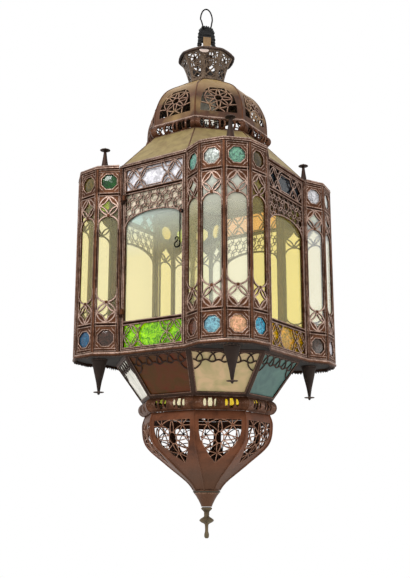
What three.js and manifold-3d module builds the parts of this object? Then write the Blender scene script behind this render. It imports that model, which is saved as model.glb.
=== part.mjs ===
import * as THREE from "three";
import { mergeVertices } from "three/addons/utils/BufferGeometryUtils.js";
import Module from "manifold-3d";

// Hanging lantern: an octagonal glazed body with a half-round turret on every second side, a pierced
// dome and crown above, a glazed taper and a pierced bulb below. Millimetres, +Z up, front is -Y.
// Heights are measured from the top of the base tray, and the whole is then hung from its wire loop.

const wasm = await Module();
wasm.setup();

// Sheet, glass and clearances
const seatGap = 0.3;
const sheet = 1.6;
const glass = 2;
const cameDepth = 4;
const ribWidth = 2.2;

// Body plan
const bodySide = 130;
const glazedHeight = 305;
const turretFacets = 5;
const postRadius = 3.2;
const railHeight = 3;

// Turret panels
const jewelRadius = 14.5;
const jewelRow = 44;
const archHalfWidth = 15.6;
const archRise = 15;
const latticeHalfWidth = 15.5;
const latticeHalfHeight = 16.5;
const latticeLeafBulge = 0.72;
const latticeTip = 1.6;

// Flat sides and door
const doorGap = 1;
const cameWidth = 7;
const railLap = 1;
const bandHeight = 44;
const sideArchDrop = 55;
const sideArchRise = 21;
const spandrelHoles = 5;
const cartoucheFlat = 0.3;
const cartoucheReach = 0.5;

// Hinges and latch
const pinRadius = 1.6;
const pinClearance = 0.4;
const knuckleWall = 1.2;
const knuckleLength = 9;
const hingeInset = 58;
const pinReach = 1;
const latchHeight = 210;
const latchLength = 58;
const latchWire = 1.1;
const latchInset = 5.5;
const latchCurl = 5;
const studRadius = 1.4;
const latchEyeTurn = 1.6 * Math.PI;
const latchScrollTurn = 1.45 * Math.PI;

// Base tray, turret caps and eaves
const trayLip = 3;
const trayDepth = 10;
const trayRim = 4;
const trayPlate = 3;
const trayHoleRadius = 150;
const capDepth = 8;
const capBevel = 2;
const eavesHeight = 4;
const eavesOverhang = 4;
const eavesWidth = 24;

// Roof, rolls, dome and crown
const roofRise = 65;
const rollRadius = 9.5;
const rollRing = 104;
const rollSeat = 4;
const slotWidth = 5;
const slotPitch = 11;
const slotsPerSide = 3;
const domeHeight = 106;
const domeTopRadius = 31.5;
const domePlate = 2;
const domeRosette = 27;
const domeRosetteTilt = 0.45;
const crownHeight = 52;
const crownRimRadius = 49;
const crownLip = 3;
const crownLeafHalf = 6;
const crownLeafHeight = 27;
const crownLeafTilt = 0.3;

// Taper, lower roll, bulb and tip
const taperSlope = 0.729;
const taperHeight = 69;
const taperBar = 5;
const paneLap = 3;
const lowerRollRadius = 11;
const bulbHeight = 119;
const bulbRadius = 108.5;
const bulbFootRadius = 21.8;
const bulbRosette = 29;
const bulbRosetteTilt = -0.62;
const tipHeight = 26;
const tipFootRadius = 8.5;
const tipCollar = 4;

// Turret finials and pendants
const spikeRadius = 11;
const finialHeight = 53;
const pendantHeight = 58;
const spikeOffset = 22;
const spikeDiscRadius = 8.8;
const spikeNeckRadius = 3;
const spikePoint = 5;
const spikeFlare = 3;

// Hanging bail, strap, wire loop and winding
const bailRod = 1.6;
const bailFootHalf = 19;
const bailArchRadius = 11;
const bailHeight = 116;
const footRadius = 5;
const footHeight = 2;
const strapWidth = 13.4;
const strapThickness = 2;
const strapHeight = 97;
const strapFoot = 10;
const cordRadius = 1.3;
const cordLoops = 9;
const cordLegLength = 25;
const loopWire = 1.3;
const loopHalfWidth = 11;
const loopHeight = 44;
const loopNarrowing = 0.12;
const loopSpread = 1.9;
const loopSpreadCurve = 0.6;

// Lamp
const stemRadius = 4;
const stemHeight = 12;
const flangeRadius = 10;
const flangeHeight = 2;
const holderRadius = 17;
const holderHeight = 38;
const holderShoulder = 6;
const lampRadius = 22;
const lampNeckRadius = 11;
const lampNeckHeight = 5;

// Profiles, as shares of the piece's own radius and height
const domeShares = [[1, 0], [0.97, 0.33], [0.8, 0.66], [0.47, 0.89]];
const domeRosetteShare = [0.92, 0.44];
const bulbShares = [[1, 0.15], [0.935, 0.4], [0.64, 0.64], [0.31, 0.88]];
const bulbRosetteShare = [0.9, 0.4];
const rosetteEyeShare = 0.26;
const petalShares = [[0.42, 0], [0.95, 0.24], [0.95, -0.24]];

// Bottom finial, radius and depth below its top
const bottomFinialProfile = [
  [0, 0], [7, 0], [9, 2.5], [7, 5], [4.5, 8], [4.5, 15], [9, 18], [12, 21], [9, 24], [4, 27],
  [4, 37], [6.5, 41], [5, 46], [0, 49],
];

// Derived sizes
const eighth = Math.PI / 4;
const flatShare = Math.cos(eighth / 2);
const bodyApothem = bodySide / 2 / Math.tan(eighth / 2);
const bodyRadius = bodyApothem / flatShare;
const turretRadius = bodySide / 2;
const facetAngle = Math.PI / turretFacets;
const facetShare = Math.cos(facetAngle / 2);
const facetApothem = turretRadius * facetShare;
const frameBottom = seatGap;
const frameTop = glazedHeight - seatGap;
const sideHalf = bodySide / 2 - postRadius - doorGap;
const spandrelTop = glazedHeight - bandHeight - railHeight;
const sideArchSpring = spandrelTop - sideArchDrop;
const hingeHeights = [hingeInset, glazedHeight - hingeInset];
const roofBase = glazedHeight + eavesHeight + seatGap;
const roofTopRadius = rollRing + rollSeat;
const upperRollZ = roofBase + roofRise + seatGap + rollRadius;
const domeBase = upperRollZ + rollRadius + seatGap;
const domeTop = domeBase + domeHeight;
const crownBase = domeTop + seatGap;
const lampTop = domeTop - domePlate - seatGap;
const taperTop = -trayPlate - seatGap;
const taperBottom = -taperHeight;
const lowerRollZ = taperBottom - seatGap - lowerRollRadius;
const bulbTop = lowerRollZ - lowerRollRadius - seatGap;
const bulbFoot = bulbTop - bulbHeight;
const tipTop = bulbFoot - seatGap;
const tipFoot = tipTop - tipHeight;
const cordReach = bailRod + seatGap + cordRadius;
const bailFoot = domeTop + seatGap;
const bailTop = bailFoot + bailHeight;
const bailLean = Math.atan((bailFootHalf - bailArchRadius) / (bailHeight - bailArchRadius));
const loopBottom = bailTop - cordReach - cordRadius - seatGap - loopWire;
const hangHeight = loopBottom + loopHeight - loopWire;

// Finishes
function finish(colour, roughness, metalness) {
  return new THREE.MeshStandardMaterial({ color: colour, roughness, metalness });
}

function clear(colour) {
  const made = finish(colour, 0.25, 0);
  made.transparent = true;
  made.opacity = 0.6;
  return made;
}

const copper = finish(0x6b4a3c, 0.5, 0.8);
const darkIron = finish(0x35261f, 0.6, 0.7);
const tanTin = finish(0xa8834a, 0.6, 0.4);
const redCopper = finish(0x7a3f30, 0.5, 0.8);
const creamGlass = clear(0xf0e6b8);
const paneColours = [0xcdb37a, 0x6f8f84, 0xe4dcc0, 0x5c7f86, 0xd9c894, 0x7d5a3a, 0xe0d8c4, 0x6b4a36];
const wireBlack = finish(0x1b1918, 0.55, 0.2);
const brassTan = finish(0xa78b62, 0.5, 0.6);
const porcelain = finish(0xe8e4da, 0.4, 0);

// Solids
function solid(geometry) {
  const bare = geometry.clone();
  bare.deleteAttribute("normal");
  bare.deleteAttribute("uv");
  const merged = mergeVertices(bare, 1e-4);
  const corners = [];
  for (let i = 0; i < merged.index.count; i += 3) {
    const [a, b, c] = [0, 1, 2].map((j) => merged.index.getX(i + j));
    if (a !== b && b !== c && c !== a) corners.push(a, b, c);
  }
  const vertProperties = merged.attributes.position.array;
  const triVerts = new Uint32Array(corners);
  return new wasm.Manifold(new wasm.Mesh({ numProp: 3, vertProperties, triVerts }));
}

function geometryOf(made) {
  const mesh = made.getMesh();
  const geometry = new THREE.BufferGeometry();
  geometry.setAttribute("position", new THREE.BufferAttribute(new Float32Array(mesh.vertProperties), 3));
  geometry.setIndex(new THREE.BufferAttribute(new Uint32Array(mesh.triVerts), 1));
  return geometry;
}

function joined(geometries) {
  return geometryOf(geometries.map(solid).reduce((sum, next) => sum.add(next)));
}

function cut(geometry, cutters) {
  return geometryOf(cutters.map(solid).reduce((rest, next) => rest.subtract(next), solid(geometry)));
}

// Outlines
function polygon(points) {
  return new THREE.Shape(points.map(([x, y]) => new THREE.Vector2(x, y)));
}

function regular(sides, radius, start, x = 0, y = 0) {
  return Array.from({ length: sides }, (_, i) => {
    const angle = start + (i * 2 * Math.PI) / sides;
    return [x + radius * Math.cos(angle), y + radius * Math.sin(angle)];
  });
}

function octagon(radius) {
  return regular(8, radius, eighth / 2);
}

function prism(points, holes, bottom, top) {
  const shape = polygon(points);
  shape.holes = holes.map((hole) => new THREE.Path(polygon(hole).getPoints()));
  const made = new THREE.ExtrudeGeometry(shape, { depth: top - bottom, bevelEnabled: false });
  return made.translate(0, 0, bottom);
}

// A sheet standing upright and facing the front, its outer face at y = -outer.
function upright(points, holes, thickness, outer) {
  return prism(points, holes, 0, thickness)
    .rotateX(Math.PI / 2)
    .translate(0, thickness - outer, 0);
}

// A turned solid; eight segments give an octagon whose flats face the front and the sides.
function turned(profile, segments, start = 0) {
  const points = profile.map(([r, z]) => new THREE.Vector2(r, z));
  return new THREE.LatheGeometry(points, segments, start).rotateX(Math.PI / 2).rotateZ(Math.PI / 2);
}

function octagonal(profile) {
  return turned([...profile, profile[0]], 8, eighth / 2);
}

// The closed section of a sheet that rises along an outer profile, thickened inwards and cut level
// at both ends.
function sheetSection(outer, thickness) {
  const inner = outer.map(([r, z], i) => {
    const before = outer[Math.max(i - 1, 0)];
    const after = outer[Math.min(i + 1, outer.length - 1)];
    const along = new THREE.Vector2(after[0] - before[0], after[1] - before[1]).normalize();
    if (i === 0 || i === outer.length - 1) return [r - thickness / along.y, z];
    return [r - along.y * thickness, z + along.x * thickness];
  });
  return [...outer, ...inner.reverse()];
}

function curveThrough(points, steps) {
  const curve = new THREE.SplineCurve(points.map(([x, y]) => new THREE.Vector2(x, y)));
  return curve.getPoints(steps).map((p) => [p.x, p.y]);
}

// Plan outline of body and turrets, let out by a lip.
function planOutline(lip) {
  const points = [];
  for (let side = 0; side < 4; side++) {
    points.push(...turretOutline(turretRadius + lip).map(([x, y]) => rotated(x, y, side * 2 * eighth)));
  }
  return points;
}

function rotated(x, y, angle) {
  return [x * Math.cos(angle) - y * Math.sin(angle), x * Math.sin(angle) + y * Math.cos(angle)];
}

// The corners of the front turret, from the left of the body's side to its right.
function turretOutline(radius) {
  return Array.from({ length: turretFacets + 1 }, (_, i) => {
    const angle = i * facetAngle - Math.PI / 2;
    return [radius * Math.sin(angle), -bodyApothem - radius * Math.cos(angle)];
  });
}

// A band that follows the turret's facets between two radii.
function turretBand(outerRadius, innerRadius, bottom, top) {
  return prism([...turretOutline(outerRadius), ...turretOutline(innerRadius).reverse()], [], bottom, top);
}

// Turret panel piercing
// A diamond with a slim leaf along each of its four sides.
function latticeHoles(centre) {
  const [w, h] = [latticeHalfWidth, latticeHalfHeight];
  const tip = latticeTip * ribWidth;
  const holes = [[[w - tip, centre], [0, centre + h - tip], [tip - w, centre], [0, centre - h + tip]]];
  for (const [sx, sz] of [[1, 1], [-1, 1], [-1, -1], [1, -1]]) {
    const leaf = [[ribWidth, h - ribWidth / 2], [w - ribWidth / 2, ribWidth]];
    leaf.push([w * latticeLeafBulge, h * latticeLeafBulge]);
    holes.push(leaf.map(([x, z]) => [sx * x, centre + sz * z]));
  }
  return holes;
}

// A tall opening, round-arched at both ends.
function archedHole(halfWidth, bottom, top, rise, steps) {
  const points = [];
  for (let i = 0; i <= steps; i++) {
    const angle = (i * Math.PI) / steps;
    points.push([halfWidth * Math.cos(angle), top - rise + rise * Math.sin(angle)]);
  }
  for (let i = 0; i <= steps; i++) {
    const angle = Math.PI + (i * Math.PI) / steps;
    points.push([halfWidth * Math.cos(angle), bottom + rise + rise * Math.sin(angle)]);
  }
  return points;
}

// The cutters that pierce one facet, standing across the front of the turret.
function facetCutters() {
  const lowLattice = jewelRow + railHeight + latticeHalfHeight;
  const highLattice = glazedHeight - lowLattice;
  const openingBottom = lowLattice + latticeHalfHeight + ribWidth / 2;
  const holes = [
    regular(8, jewelRadius, eighth / 2, 0, jewelRow / 2),
    regular(8, jewelRadius, eighth / 2, 0, glazedHeight - jewelRow / 2),
    archedHole(archHalfWidth, openingBottom, glazedHeight - openingBottom, archRise, 3),
    ...latticeHoles(lowLattice),
    ...latticeHoles(highLattice),
  ];
  return holes.map((hole) => upright(hole, [], 4 * sheet, facetApothem + sheet));
}

// Plan of the turret's sheet: five facets with a bead at every corner.
function turretSection() {
  const beads = turretOutline(turretRadius).flatMap(([x, y], i) => {
    const outward = i * facetAngle - Math.PI;
    const reach = Math.PI / 2 + facetAngle / 2;
    const turns = [-reach, -reach / 3, reach / 3, reach].map((turn) => outward + turn);
    return turns.map((turn) => [x + postRadius * Math.cos(turn), y + postRadius * Math.sin(turn)]);
  });
  return [...beads, ...turretOutline(turretRadius - sheet / facetShare).reverse()];
}

function turretFrame() {
  const cutters = [];
  for (let i = 0; i < turretFacets; i++) {
    const angle = (i - (turretFacets - 1) / 2) * facetAngle;
    cutters.push(...facetCutters().map((cutter) => cutter.rotateZ(angle).translate(0, -bodyApothem, 0)));
  }
  return cut(prism(turretSection(), [], frameBottom, frameTop), cutters);
}

function turretGlass() {
  const outer = turretRadius - (sheet + seatGap) / facetShare;
  return turretBand(outer, outer - glass / facetShare, frameBottom, frameTop);
}

function turretCap() {
  const back = bodyApothem + eavesOverhang + seatGap;
  const outline = turretOutline(turretRadius + trayLip - capBevel);
  outline[0][1] = -back - capBevel;
  outline[outline.length - 1][1] = -back - capBevel;
  const made = new THREE.ExtrudeGeometry(polygon(outline), {
    depth: capDepth - 2 * capBevel,
    bevelEnabled: true,
    bevelThickness: capBevel,
    bevelSize: capBevel,
    bevelSegments: 1,
  });
  return made.translate(0, 0, glazedHeight + capBevel);
}

// A cone with a thin disc near its point, pointing up.
function spike(height) {
  const disc = height - spikePoint;
  return turned(
    [[0, 0], [spikeRadius, 0], [spikeDiscRadius, spikeFlare], [spikeNeckRadius, disc - spikeFlare],
      [spikeNeckRadius, disc], [spikeDiscRadius, disc + spikeFlare / 2], [0, height]],
    8,
  );
}

function turretFinial() {
  return spike(finialHeight).translate(0, -bodyApothem - spikeOffset, glazedHeight + capDepth + seatGap);
}

function pendant() {
  return spike(pendantHeight)
    .rotateX(Math.PI)
    .translate(0, -bodyApothem - spikeOffset, -trayPlate - seatGap);
}

// Flat side piercing
function sideArchZ(x) {
  const share = x / (sideHalf - cameWidth);
  return sideArchSpring + sideArchRise * Math.sqrt(Math.max(0, 1 - share * share));
}

function spandrelCuts() {
  const half = sideHalf - cameWidth;
  const pitch = (2 * half) / spandrelHoles;
  return Array.from({ length: spandrelHoles }, (_, i) => {
    const left = -half + i * pitch + ribWidth / 2;
    const right = left + pitch - ribWidth;
    const middle = (left + right) / 2;
    return [
      [left, sideArchZ(left) + ribWidth],
      [right, sideArchZ(right) + ribWidth],
      [right, spandrelTop - latticeHalfHeight / 2],
      [middle, spandrelTop],
      [left, spandrelTop - latticeHalfHeight / 2],
    ];
  });
}

function bandCuts(bottom, top) {
  const half = sideHalf - cameWidth;
  const middle = (bottom + top) / 2;
  const rib = ribWidth;
  return [
    [[-half + 2 * rib, bottom], [half - 2 * rib, bottom], [0, middle - rib]],
    [[half - 2 * rib, top], [-half + 2 * rib, top], [0, middle + rib]],
    [[half, bottom + rib], [half, top - rib], [2 * rib, middle]],
    [[-half, top - rib], [-half, bottom + rib], [-2 * rib, middle]],
  ];
}

function cartoucheCuts(bottom, top) {
  const half = sideHalf - cameWidth;
  const middle = (bottom + top) / 2;
  const long = half * cartoucheFlat;
  const tip = half * cartoucheReach;
  const cuts = [[[-tip, middle], [-long, bottom], [long, bottom], [tip, middle], [long, top], [-long, top]]];
  for (const [sx, edge, inward] of [[1, bottom, 1], [1, top, -1], [-1, bottom, 1], [-1, top, -1]]) {
    const shelf = edge + (inward * ribWidth) / 2;
    cuts.push([
      [sx * half, shelf],
      [sx * (long + 3 * ribWidth), shelf],
      [sx * half, middle - inward * ribWidth],
    ]);
  }
  return cuts;
}

function sideArchHole() {
  const half = sideHalf - cameWidth;
  const steps = 8;
  const points = [[-half, bandHeight + railHeight], [half, bandHeight + railHeight]];
  for (let i = 0; i <= steps; i++) {
    const angle = (i * Math.PI) / steps;
    points.push([half * Math.cos(angle), sideArchSpring + sideArchRise * Math.sin(angle) - ribWidth]);
  }
  return points;
}

function rectangle(left, right, bottom, top) {
  return [[left, bottom], [right, bottom], [right, top], [left, top]];
}

function sideFrame() {
  const outline = rectangle(-sideHalf, sideHalf, frameBottom, frameTop);
  const cuts = [
    ...bandCuts(cameWidth, bandHeight - railHeight),
    ...cartoucheCuts(glazedHeight - bandHeight + railHeight, glazedHeight - cameWidth),
    ...spandrelCuts(),
    sideArchHole(),
  ];
  const edge = sideHalf - cameWidth;
  const window = rectangle(-edge, edge, cameWidth, glazedHeight - cameWidth);
  const pierced = upright(outline, cuts, sheet, bodyApothem - (cameDepth - sheet) / 2);
  const came = upright(outline, [window], cameDepth, bodyApothem);
  const rails = [bandHeight, glazedHeight - bandHeight].map((z) => {
    const bar = rectangle(-edge - railLap, edge + railLap, z - railHeight, z + railHeight);
    return upright(bar, [], cameDepth, bodyApothem);
  });
  return joined([pierced, came, ...rails]);
}

function sideGlass() {
  const half = sideHalf - glass;
  const outline = rectangle(-half, half, frameBottom, frameTop);
  return upright(outline, [], glass, bodyApothem - cameDepth - seatGap);
}

// Door hinges: a pin on a bracket at the corner post, and an eye on the door that drops over it.
const eyeBore = pinRadius + pinClearance;
const eyeRadius = eyeBore + knuckleWall;
const hingeX = -sideHalf + eyeRadius + seatGap;
const hingeY = -bodyApothem - eyeBore - seatGap;

function doorFrame() {
  const eyes = hingeHeights.map((z) =>
    prism(
      regular(10, eyeRadius, 0, hingeX, hingeY),
      [],
      z + seatGap,
      z + knuckleLength,
    ),
  );
  const bores = hingeHeights.map((z) =>
    prism(regular(10, eyeBore, 0, hingeX, hingeY), [], z - pinReach, z + 2 * knuckleLength),
  );
  const stud = latchStud();
  return cut(joined([sideFrame(), ...eyes, stud]), bores);
}

function hingePin(z) {
  const reach = -bodySide / 2 + postRadius + seatGap;
  const bracket = prism(
    rectangle(reach, hingeX + pinRadius, hingeY - pinRadius, hingeY + pinRadius),
    [],
    z - knuckleLength / 2,
    z,
  );
  const outline = regular(10, pinRadius, 0, hingeX, hingeY);
  const pin = prism(outline, [], z - pinReach, z + knuckleLength + pinReach);
  return joined([bracket, pin]);
}

// Latch: a wire hook that hangs from a stud at the door's free edge. Its eye takes most of a turn round
// the stud, and its foot ends in a scroll that tightens by half.
const latchX = sideHalf - latchInset;
const eyeStart = Math.PI + eighth;
const studLength = 2 * (latchWire + seatGap) + sheet / 2;

function latchStud() {
  const outline = regular(8, studRadius, 0, latchX, latchHeight);
  return upright(outline, [], studLength + sheet, bodyApothem + studLength);
}

function doorLatch() {
  const eye = studRadius + pinClearance + latchWire;
  const shank = eye / Math.SQRT2;
  const low = latchCurl + latchWire - latchLength;
  const spots = [[-shank, (-latchLength * 2) / 3], [-eye / 2, -latchLength / 3]];
  for (let i = 0; i <= 10; i++) {
    const angle = eyeStart - (latchEyeTurn * i) / 10;
    spots.push([eye * Math.cos(angle), eye * Math.sin(angle)]);
  }
  for (let i = 0; i <= 8; i++) {
    const angle = (latchScrollTurn * i) / 8;
    const curl = latchCurl * (1 - i / 16);
    spots.unshift([-shank - latchCurl + curl * Math.cos(angle), low - curl * Math.sin(angle)]);
  }
  const y = -bodyApothem - latchWire - seatGap;
  return sweep(spots.map(([x, z]) => new THREE.Vector3(latchX + x, y, latchHeight + z)), latchWire, 5, false);
}

// Tray, eaves and roof
function baseTray() {
  const plate = prism(planOutline(trayLip), [octagon(trayHoleRadius)], -trayPlate, 0);
  const rim = prism(planOutline(trayLip), [planOutline(trayLip - trayRim)], -trayDepth, 0);
  return joined([plate, rim]);
}

function eavesRing() {
  const outer = (bodyApothem + eavesOverhang) / flatShare;
  return prism(octagon(outer), [octagon(outer - eavesWidth)], glazedHeight, glazedHeight + eavesHeight);
}

function roof() {
  return octagonal(sheetSection([[bodyRadius, roofBase], [roofTopRadius, roofBase + roofRise]], sheet));
}

// Slotted half-round rolls, open towards the inside, with a flat seat at the top and the bottom.
function slottedRoll(radius, centreZ) {
  const arc = (r, inset) => {
    const bend = [rollRing + r * Math.cos(Math.PI / 6), r / 2];
    const end = [rollRing + inset, radius];
    return [[end[0], -end[1]], [bend[0], -bend[1]], bend, end].map(([x, z]) => [x, centreZ + z]);
  };
  const ring = octagonal([...arc(radius, rollSeat), ...arc(radius - sheet, 0).reverse()]);
  const slots = [];
  for (let i = 0; i < slotsPerSide; i++) {
    const across = (i - (slotsPerSide - 1) / 2) * slotPitch;
    const slot = new THREE.BoxGeometry(slotWidth, 2 * radius, radius);
    slots.push(slot.translate(across, -(rollRing + radius) * flatShare, centreZ));
  }
  return cut(ring, onEverySide(slots));
}

// A six-petalled rosette punched through the front gore, square to the gore at its centre.
function rosetteCutters(centre, normalAngle, scale) {
  const holes = [regular(6, scale * rosetteEyeShare, 0)];
  for (let i = 0; i < 6; i++) {
    const angle = Math.PI / 6 + (i * Math.PI) / 3;
    holes.push(petalShares.map(([x, y]) => rotated(scale * x, scale * y, angle)));
  }
  return holes.map((hole) =>
    prism(hole, [], -scale, scale)
      .rotateX(Math.PI / 2 - normalAngle)
      .translate(0, -centre[0] * flatShare, centre[1]),
  );
}

function onEverySide(cutters) {
  const all = [];
  for (let side = 0; side < 8; side++) {
    all.push(...cutters.map((cutter) => cutter.clone().rotateZ(side * eighth)));
  }
  return all;
}

function dome() {
  const foot = rollRing + rollSeat;
  const spot = ([r, z]) => [foot * r, domeBase + domeHeight * z];
  const outer = curveThrough([...domeShares.map(spot), [domeTopRadius, domeTop]], 5);
  const inner = sheetSection(outer, sheet).slice(outer.length);
  inner[0] = [inner[0][0], domeTop - domePlate];
  const section = [...outer, [0, domeTop], [0, domeTop - domePlate], ...inner];
  const cutters = rosetteCutters(spot(domeRosetteShare), domeRosetteTilt, domeRosette);
  return cut(octagonal(section), onEverySide(cutters));
}

function crown() {
  const foot = domeTopRadius - seatGap;
  const flare = crownRimRadius - foot;
  const outer = [
    [foot, crownBase],
    [foot + flare / 9, crownBase + crownHeight / 4],
    [foot + flare / 2, crownBase + (crownHeight * 2) / 3],
    [crownRimRadius, crownBase + crownHeight],
    [crownRimRadius + crownLip, crownBase + crownHeight + sheet],
  ];
  const half = crownLeafHeight / 2;
  const leaf = [[0, -half], [crownLeafHalf, 0], [0, half], [-crownLeafHalf, 0]];
  const slot = prism(leaf, [], -flare, flare)
    .rotateX(Math.PI / 2 + crownLeafTilt)
    .translate(0, -(foot + flare / 2) * flatShare, crownBase + crownHeight / 2);
  return cut(octagonal(sheetSection(outer, sheet)), onEverySide([slot]));
}

// Taper
function taperRadius(z) {
  return bodyApothem + trayLip + taperSlope * z;
}

const taperTilt = Math.atan(taperSlope * flatShare);

// A flat trapezoid on the front side of the taper, its outer face let in by a depth.
function taperTrapezoid(bottom, top, edge, depth, thickness) {
  const share = Math.tan(eighth / 2) * flatShare;
  const slant = Math.cos(taperTilt);
  const corners = [
    [-taperRadius(bottom) * share + edge, bottom / slant],
    [taperRadius(bottom) * share - edge, bottom / slant],
    [taperRadius(top) * share - edge, top / slant],
    [-taperRadius(top) * share + edge, top / slant],
  ];
  return upright(corners, [], thickness, -depth)
    .rotateX(taperTilt)
    .translate(0, -taperRadius(0) * flatShare, 0);
}

function taperFrame() {
  const outer = [[taperRadius(taperBottom), taperBottom], [taperRadius(taperTop), taperTop]];
  const low = taperBottom + taperBar;
  const high = taperTop - taperBar;
  const windows = taperTrapezoid(low, high, taperBar, -3 * sheet, 6 * sheet);
  return cut(octagonal(sheetSection(outer, sheet)), onEverySide([windows]));
}

function taperPane() {
  return taperTrapezoid(taperBottom + paneLap, taperTop - paneLap, paneLap, sheet + seatGap, glass);
}

// Bulb, tip and bottom finial
function bulb() {
  const spot = ([r, z]) => [bulbRadius * r, bulbTop - bulbHeight * z];
  const points = [[rollRing, bulbTop], ...bulbShares.map(spot), [bulbFootRadius, bulbFoot]];
  const outer = curveThrough(points, 5).reverse();
  const cutters = rosetteCutters(spot(bulbRosetteShare), bulbRosetteTilt, bulbRosette);
  return cut(octagonal(sheetSection(outer, sheet)), onEverySide(cutters));
}

function bulbTip() {
  const collar = tipTop - tipCollar;
  const profile = [[0, tipFoot], [tipFootRadius, tipFoot], [bulbFootRadius, collar], [bulbFootRadius, tipTop],
    [0, tipTop]];
  return turned(profile, 8, eighth / 2);
}

function bottomFinial() {
  const top = tipFoot - seatGap;
  return turned(bottomFinialProfile.map(([r, depth]) => [r, top - depth]).reverse(), 8);
}

// Hanging
// The bail's centre line at a length along it, with the direction that points out of its arch.
function bailFrame(s, leg) {
  const archZ = bailTop - bailArchRadius;
  const arch = Math.PI * bailArchRadius;
  if (s < leg || s > leg + arch) {
    const side = s < leg ? -1 : 1;
    const down = s < leg ? leg - s : s - leg - arch;
    const x = side * (bailArchRadius + down * Math.tan(bailLean));
    return [new THREE.Vector3(x, 0, archZ - down), new THREE.Vector3(side, 0, 0)];
  }
  const angle = Math.PI - (s - leg) / bailArchRadius;
  const out = new THREE.Vector3(Math.cos(angle), 0, Math.sin(angle));
  return [out.clone().multiplyScalar(bailArchRadius).add(new THREE.Vector3(0, 0, archZ)), out];
}

function bail() {
  const leg = bailTop - bailArchRadius - bailFoot - footHeight / 2;
  const arch = Math.PI * bailArchRadius;
  const steps = 12;
  const bend = Array.from({ length: steps + 1 }, (_, i) => leg + (arch * i) / steps);
  const lengths = [0, ...bend, 2 * leg + arch];
  const rod = sweep(lengths.map((s) => bailFrame(s, leg)[0]), bailRod, 6, false);
  const feet = [-1, 1].map((side) =>
    prism(regular(8, footRadius, 0, side * bailFootHalf, 0), [], bailFoot, bailFoot + footHeight),
  );
  return joined([rod, ...feet]);
}

function hangingStrap() {
  const bottom = bailFoot;
  const half = strapWidth / 2;
  const outline = rectangle(-half, half, bottom, bottom + strapHeight);
  const blade = upright(outline, [], strapThickness, strapThickness / 2);
  const foot = prism(rectangle(-half, half, 0, strapFoot), [], bottom, bottom + sheet);
  return joined([blade, foot]);
}

// A tube swept through points, with frames carried along so that it never twists sharply.
function sweep(points, radius, sides, closed) {
  const count = points.length;
  const along = points.map((_, i) => {
    const after = closed ? points[(i + 1) % count] : points[Math.min(i + 1, count - 1)];
    const before = closed ? points[(i - 1 + count) % count] : points[Math.max(i - 1, 0)];
    return new THREE.Vector3().subVectors(after, before).normalize();
  });
  const positions = [];
  const normal = new THREE.Vector3(0, 1, 0.01).cross(along[0]).normalize();
  const normals = [];
  for (const direction of along) {
    normal.addScaledVector(direction, -normal.dot(direction)).normalize();
    normals.push(normal.clone());
  }
  let twist = 0;
  if (closed) {
    const last = normals[count - 1].clone();
    last.addScaledVector(along[0], -last.dot(along[0])).normalize();
    const side = new THREE.Vector3().crossVectors(along[0], last);
    twist = Math.atan2(normals[0].dot(side), normals[0].dot(last));
  }
  points.forEach((p, i) => {
    const binormal = new THREE.Vector3().crossVectors(along[i], normals[i]);
    for (let j = 0; j < sides; j++) {
      const angle = (j * 2 * Math.PI) / sides + (twist * i) / count;
      const spot = p.clone()
        .addScaledVector(normals[i], radius * Math.cos(angle))
        .addScaledVector(binormal, radius * Math.sin(angle));
      positions.push(spot.x, spot.y, spot.z);
    }
  });
  const index = [];
  const rings = closed ? count : count - 1;
  for (let i = 0; i < rings; i++) {
    for (let j = 0; j < sides; j++) {
      const [a, b] = [i * sides + j, i * sides + ((j + 1) % sides)];
      const [c, d] = [((i + 1) % count) * sides + j, ((i + 1) % count) * sides + ((j + 1) % sides)];
      index.push(a, b, d, a, d, c);
    }
  }
  if (!closed) {
    for (let j = 1; j < sides - 1; j++) {
      const last = (count - 1) * sides;
      index.push(0, j + 1, j, last, last + j, last + j + 1);
    }
  }
  const made = new THREE.BufferGeometry();
  made.setAttribute("position", new THREE.BufferAttribute(new Float32Array(positions), 3));
  made.setIndex(index);
  return made;
}

// The loop passes through the bail from front left to back right, and its top takes the hook.
function wireLoop() {
  const middle = loopBottom + loopHeight / 2;
  const bulge = loopSpread * (cordReach + cordRadius + loopWire + 4 * seatGap);
  const steps = 24;
  const points = [];
  for (let i = 0; i < steps; i++) {
    const angle = (i * 2 * Math.PI) / steps;
    const low = Math.max(0, -Math.cos(angle));
    const x = loopHalfWidth * Math.sin(angle) * (1 - loopNarrowing * low);
    const y = bulge * Math.sin(angle) * Math.pow(low, loopSpreadCurve);
    points.push(new THREE.Vector3(x, y, middle + (loopHeight / 2) * Math.cos(angle)));
  }
  return sweep(points, loopWire, 6, true);
}

// Cord wound round the bail's arch; its least gap to itself is measured on its points.
function windingPoints() {
  const total = 2 * cordLegLength + Math.PI * bailArchRadius;
  const stepsPerLoop = 22;
  const steps = cordLoops * stepsPerLoop;
  const points = [];
  for (let i = 0; i <= steps; i++) {
    const turn = (i * 2 * Math.PI) / stepsPerLoop;
    const [centre, out] = bailFrame((total * i) / steps, cordLegLength);
    centre.addScaledVector(out, cordReach * Math.cos(turn));
    points.push(centre.add(new THREE.Vector3(0, cordReach * Math.sin(turn), 0)));
  }
  const lead = new THREE.Vector3(0, 2 * cordRadius, 0);
  return [points[0].clone().sub(lead), ...points, points[steps].clone().add(lead)];
}

function leastGap(points, radius, apart) {
  let least = Infinity;
  for (let i = 0; i < points.length; i++) {
    for (let j = i + apart; j < points.length; j++) {
      least = Math.min(least, points[i].distanceTo(points[j]) - 2 * radius);
    }
  }
  return least;
}

function cordWinding() {
  const points = windingPoints();
  console.log("least gap of the winding to itself, mm:", leastGap(points, cordRadius, 12).toFixed(2));
  return sweep(points, cordRadius, 6, false);
}

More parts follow.
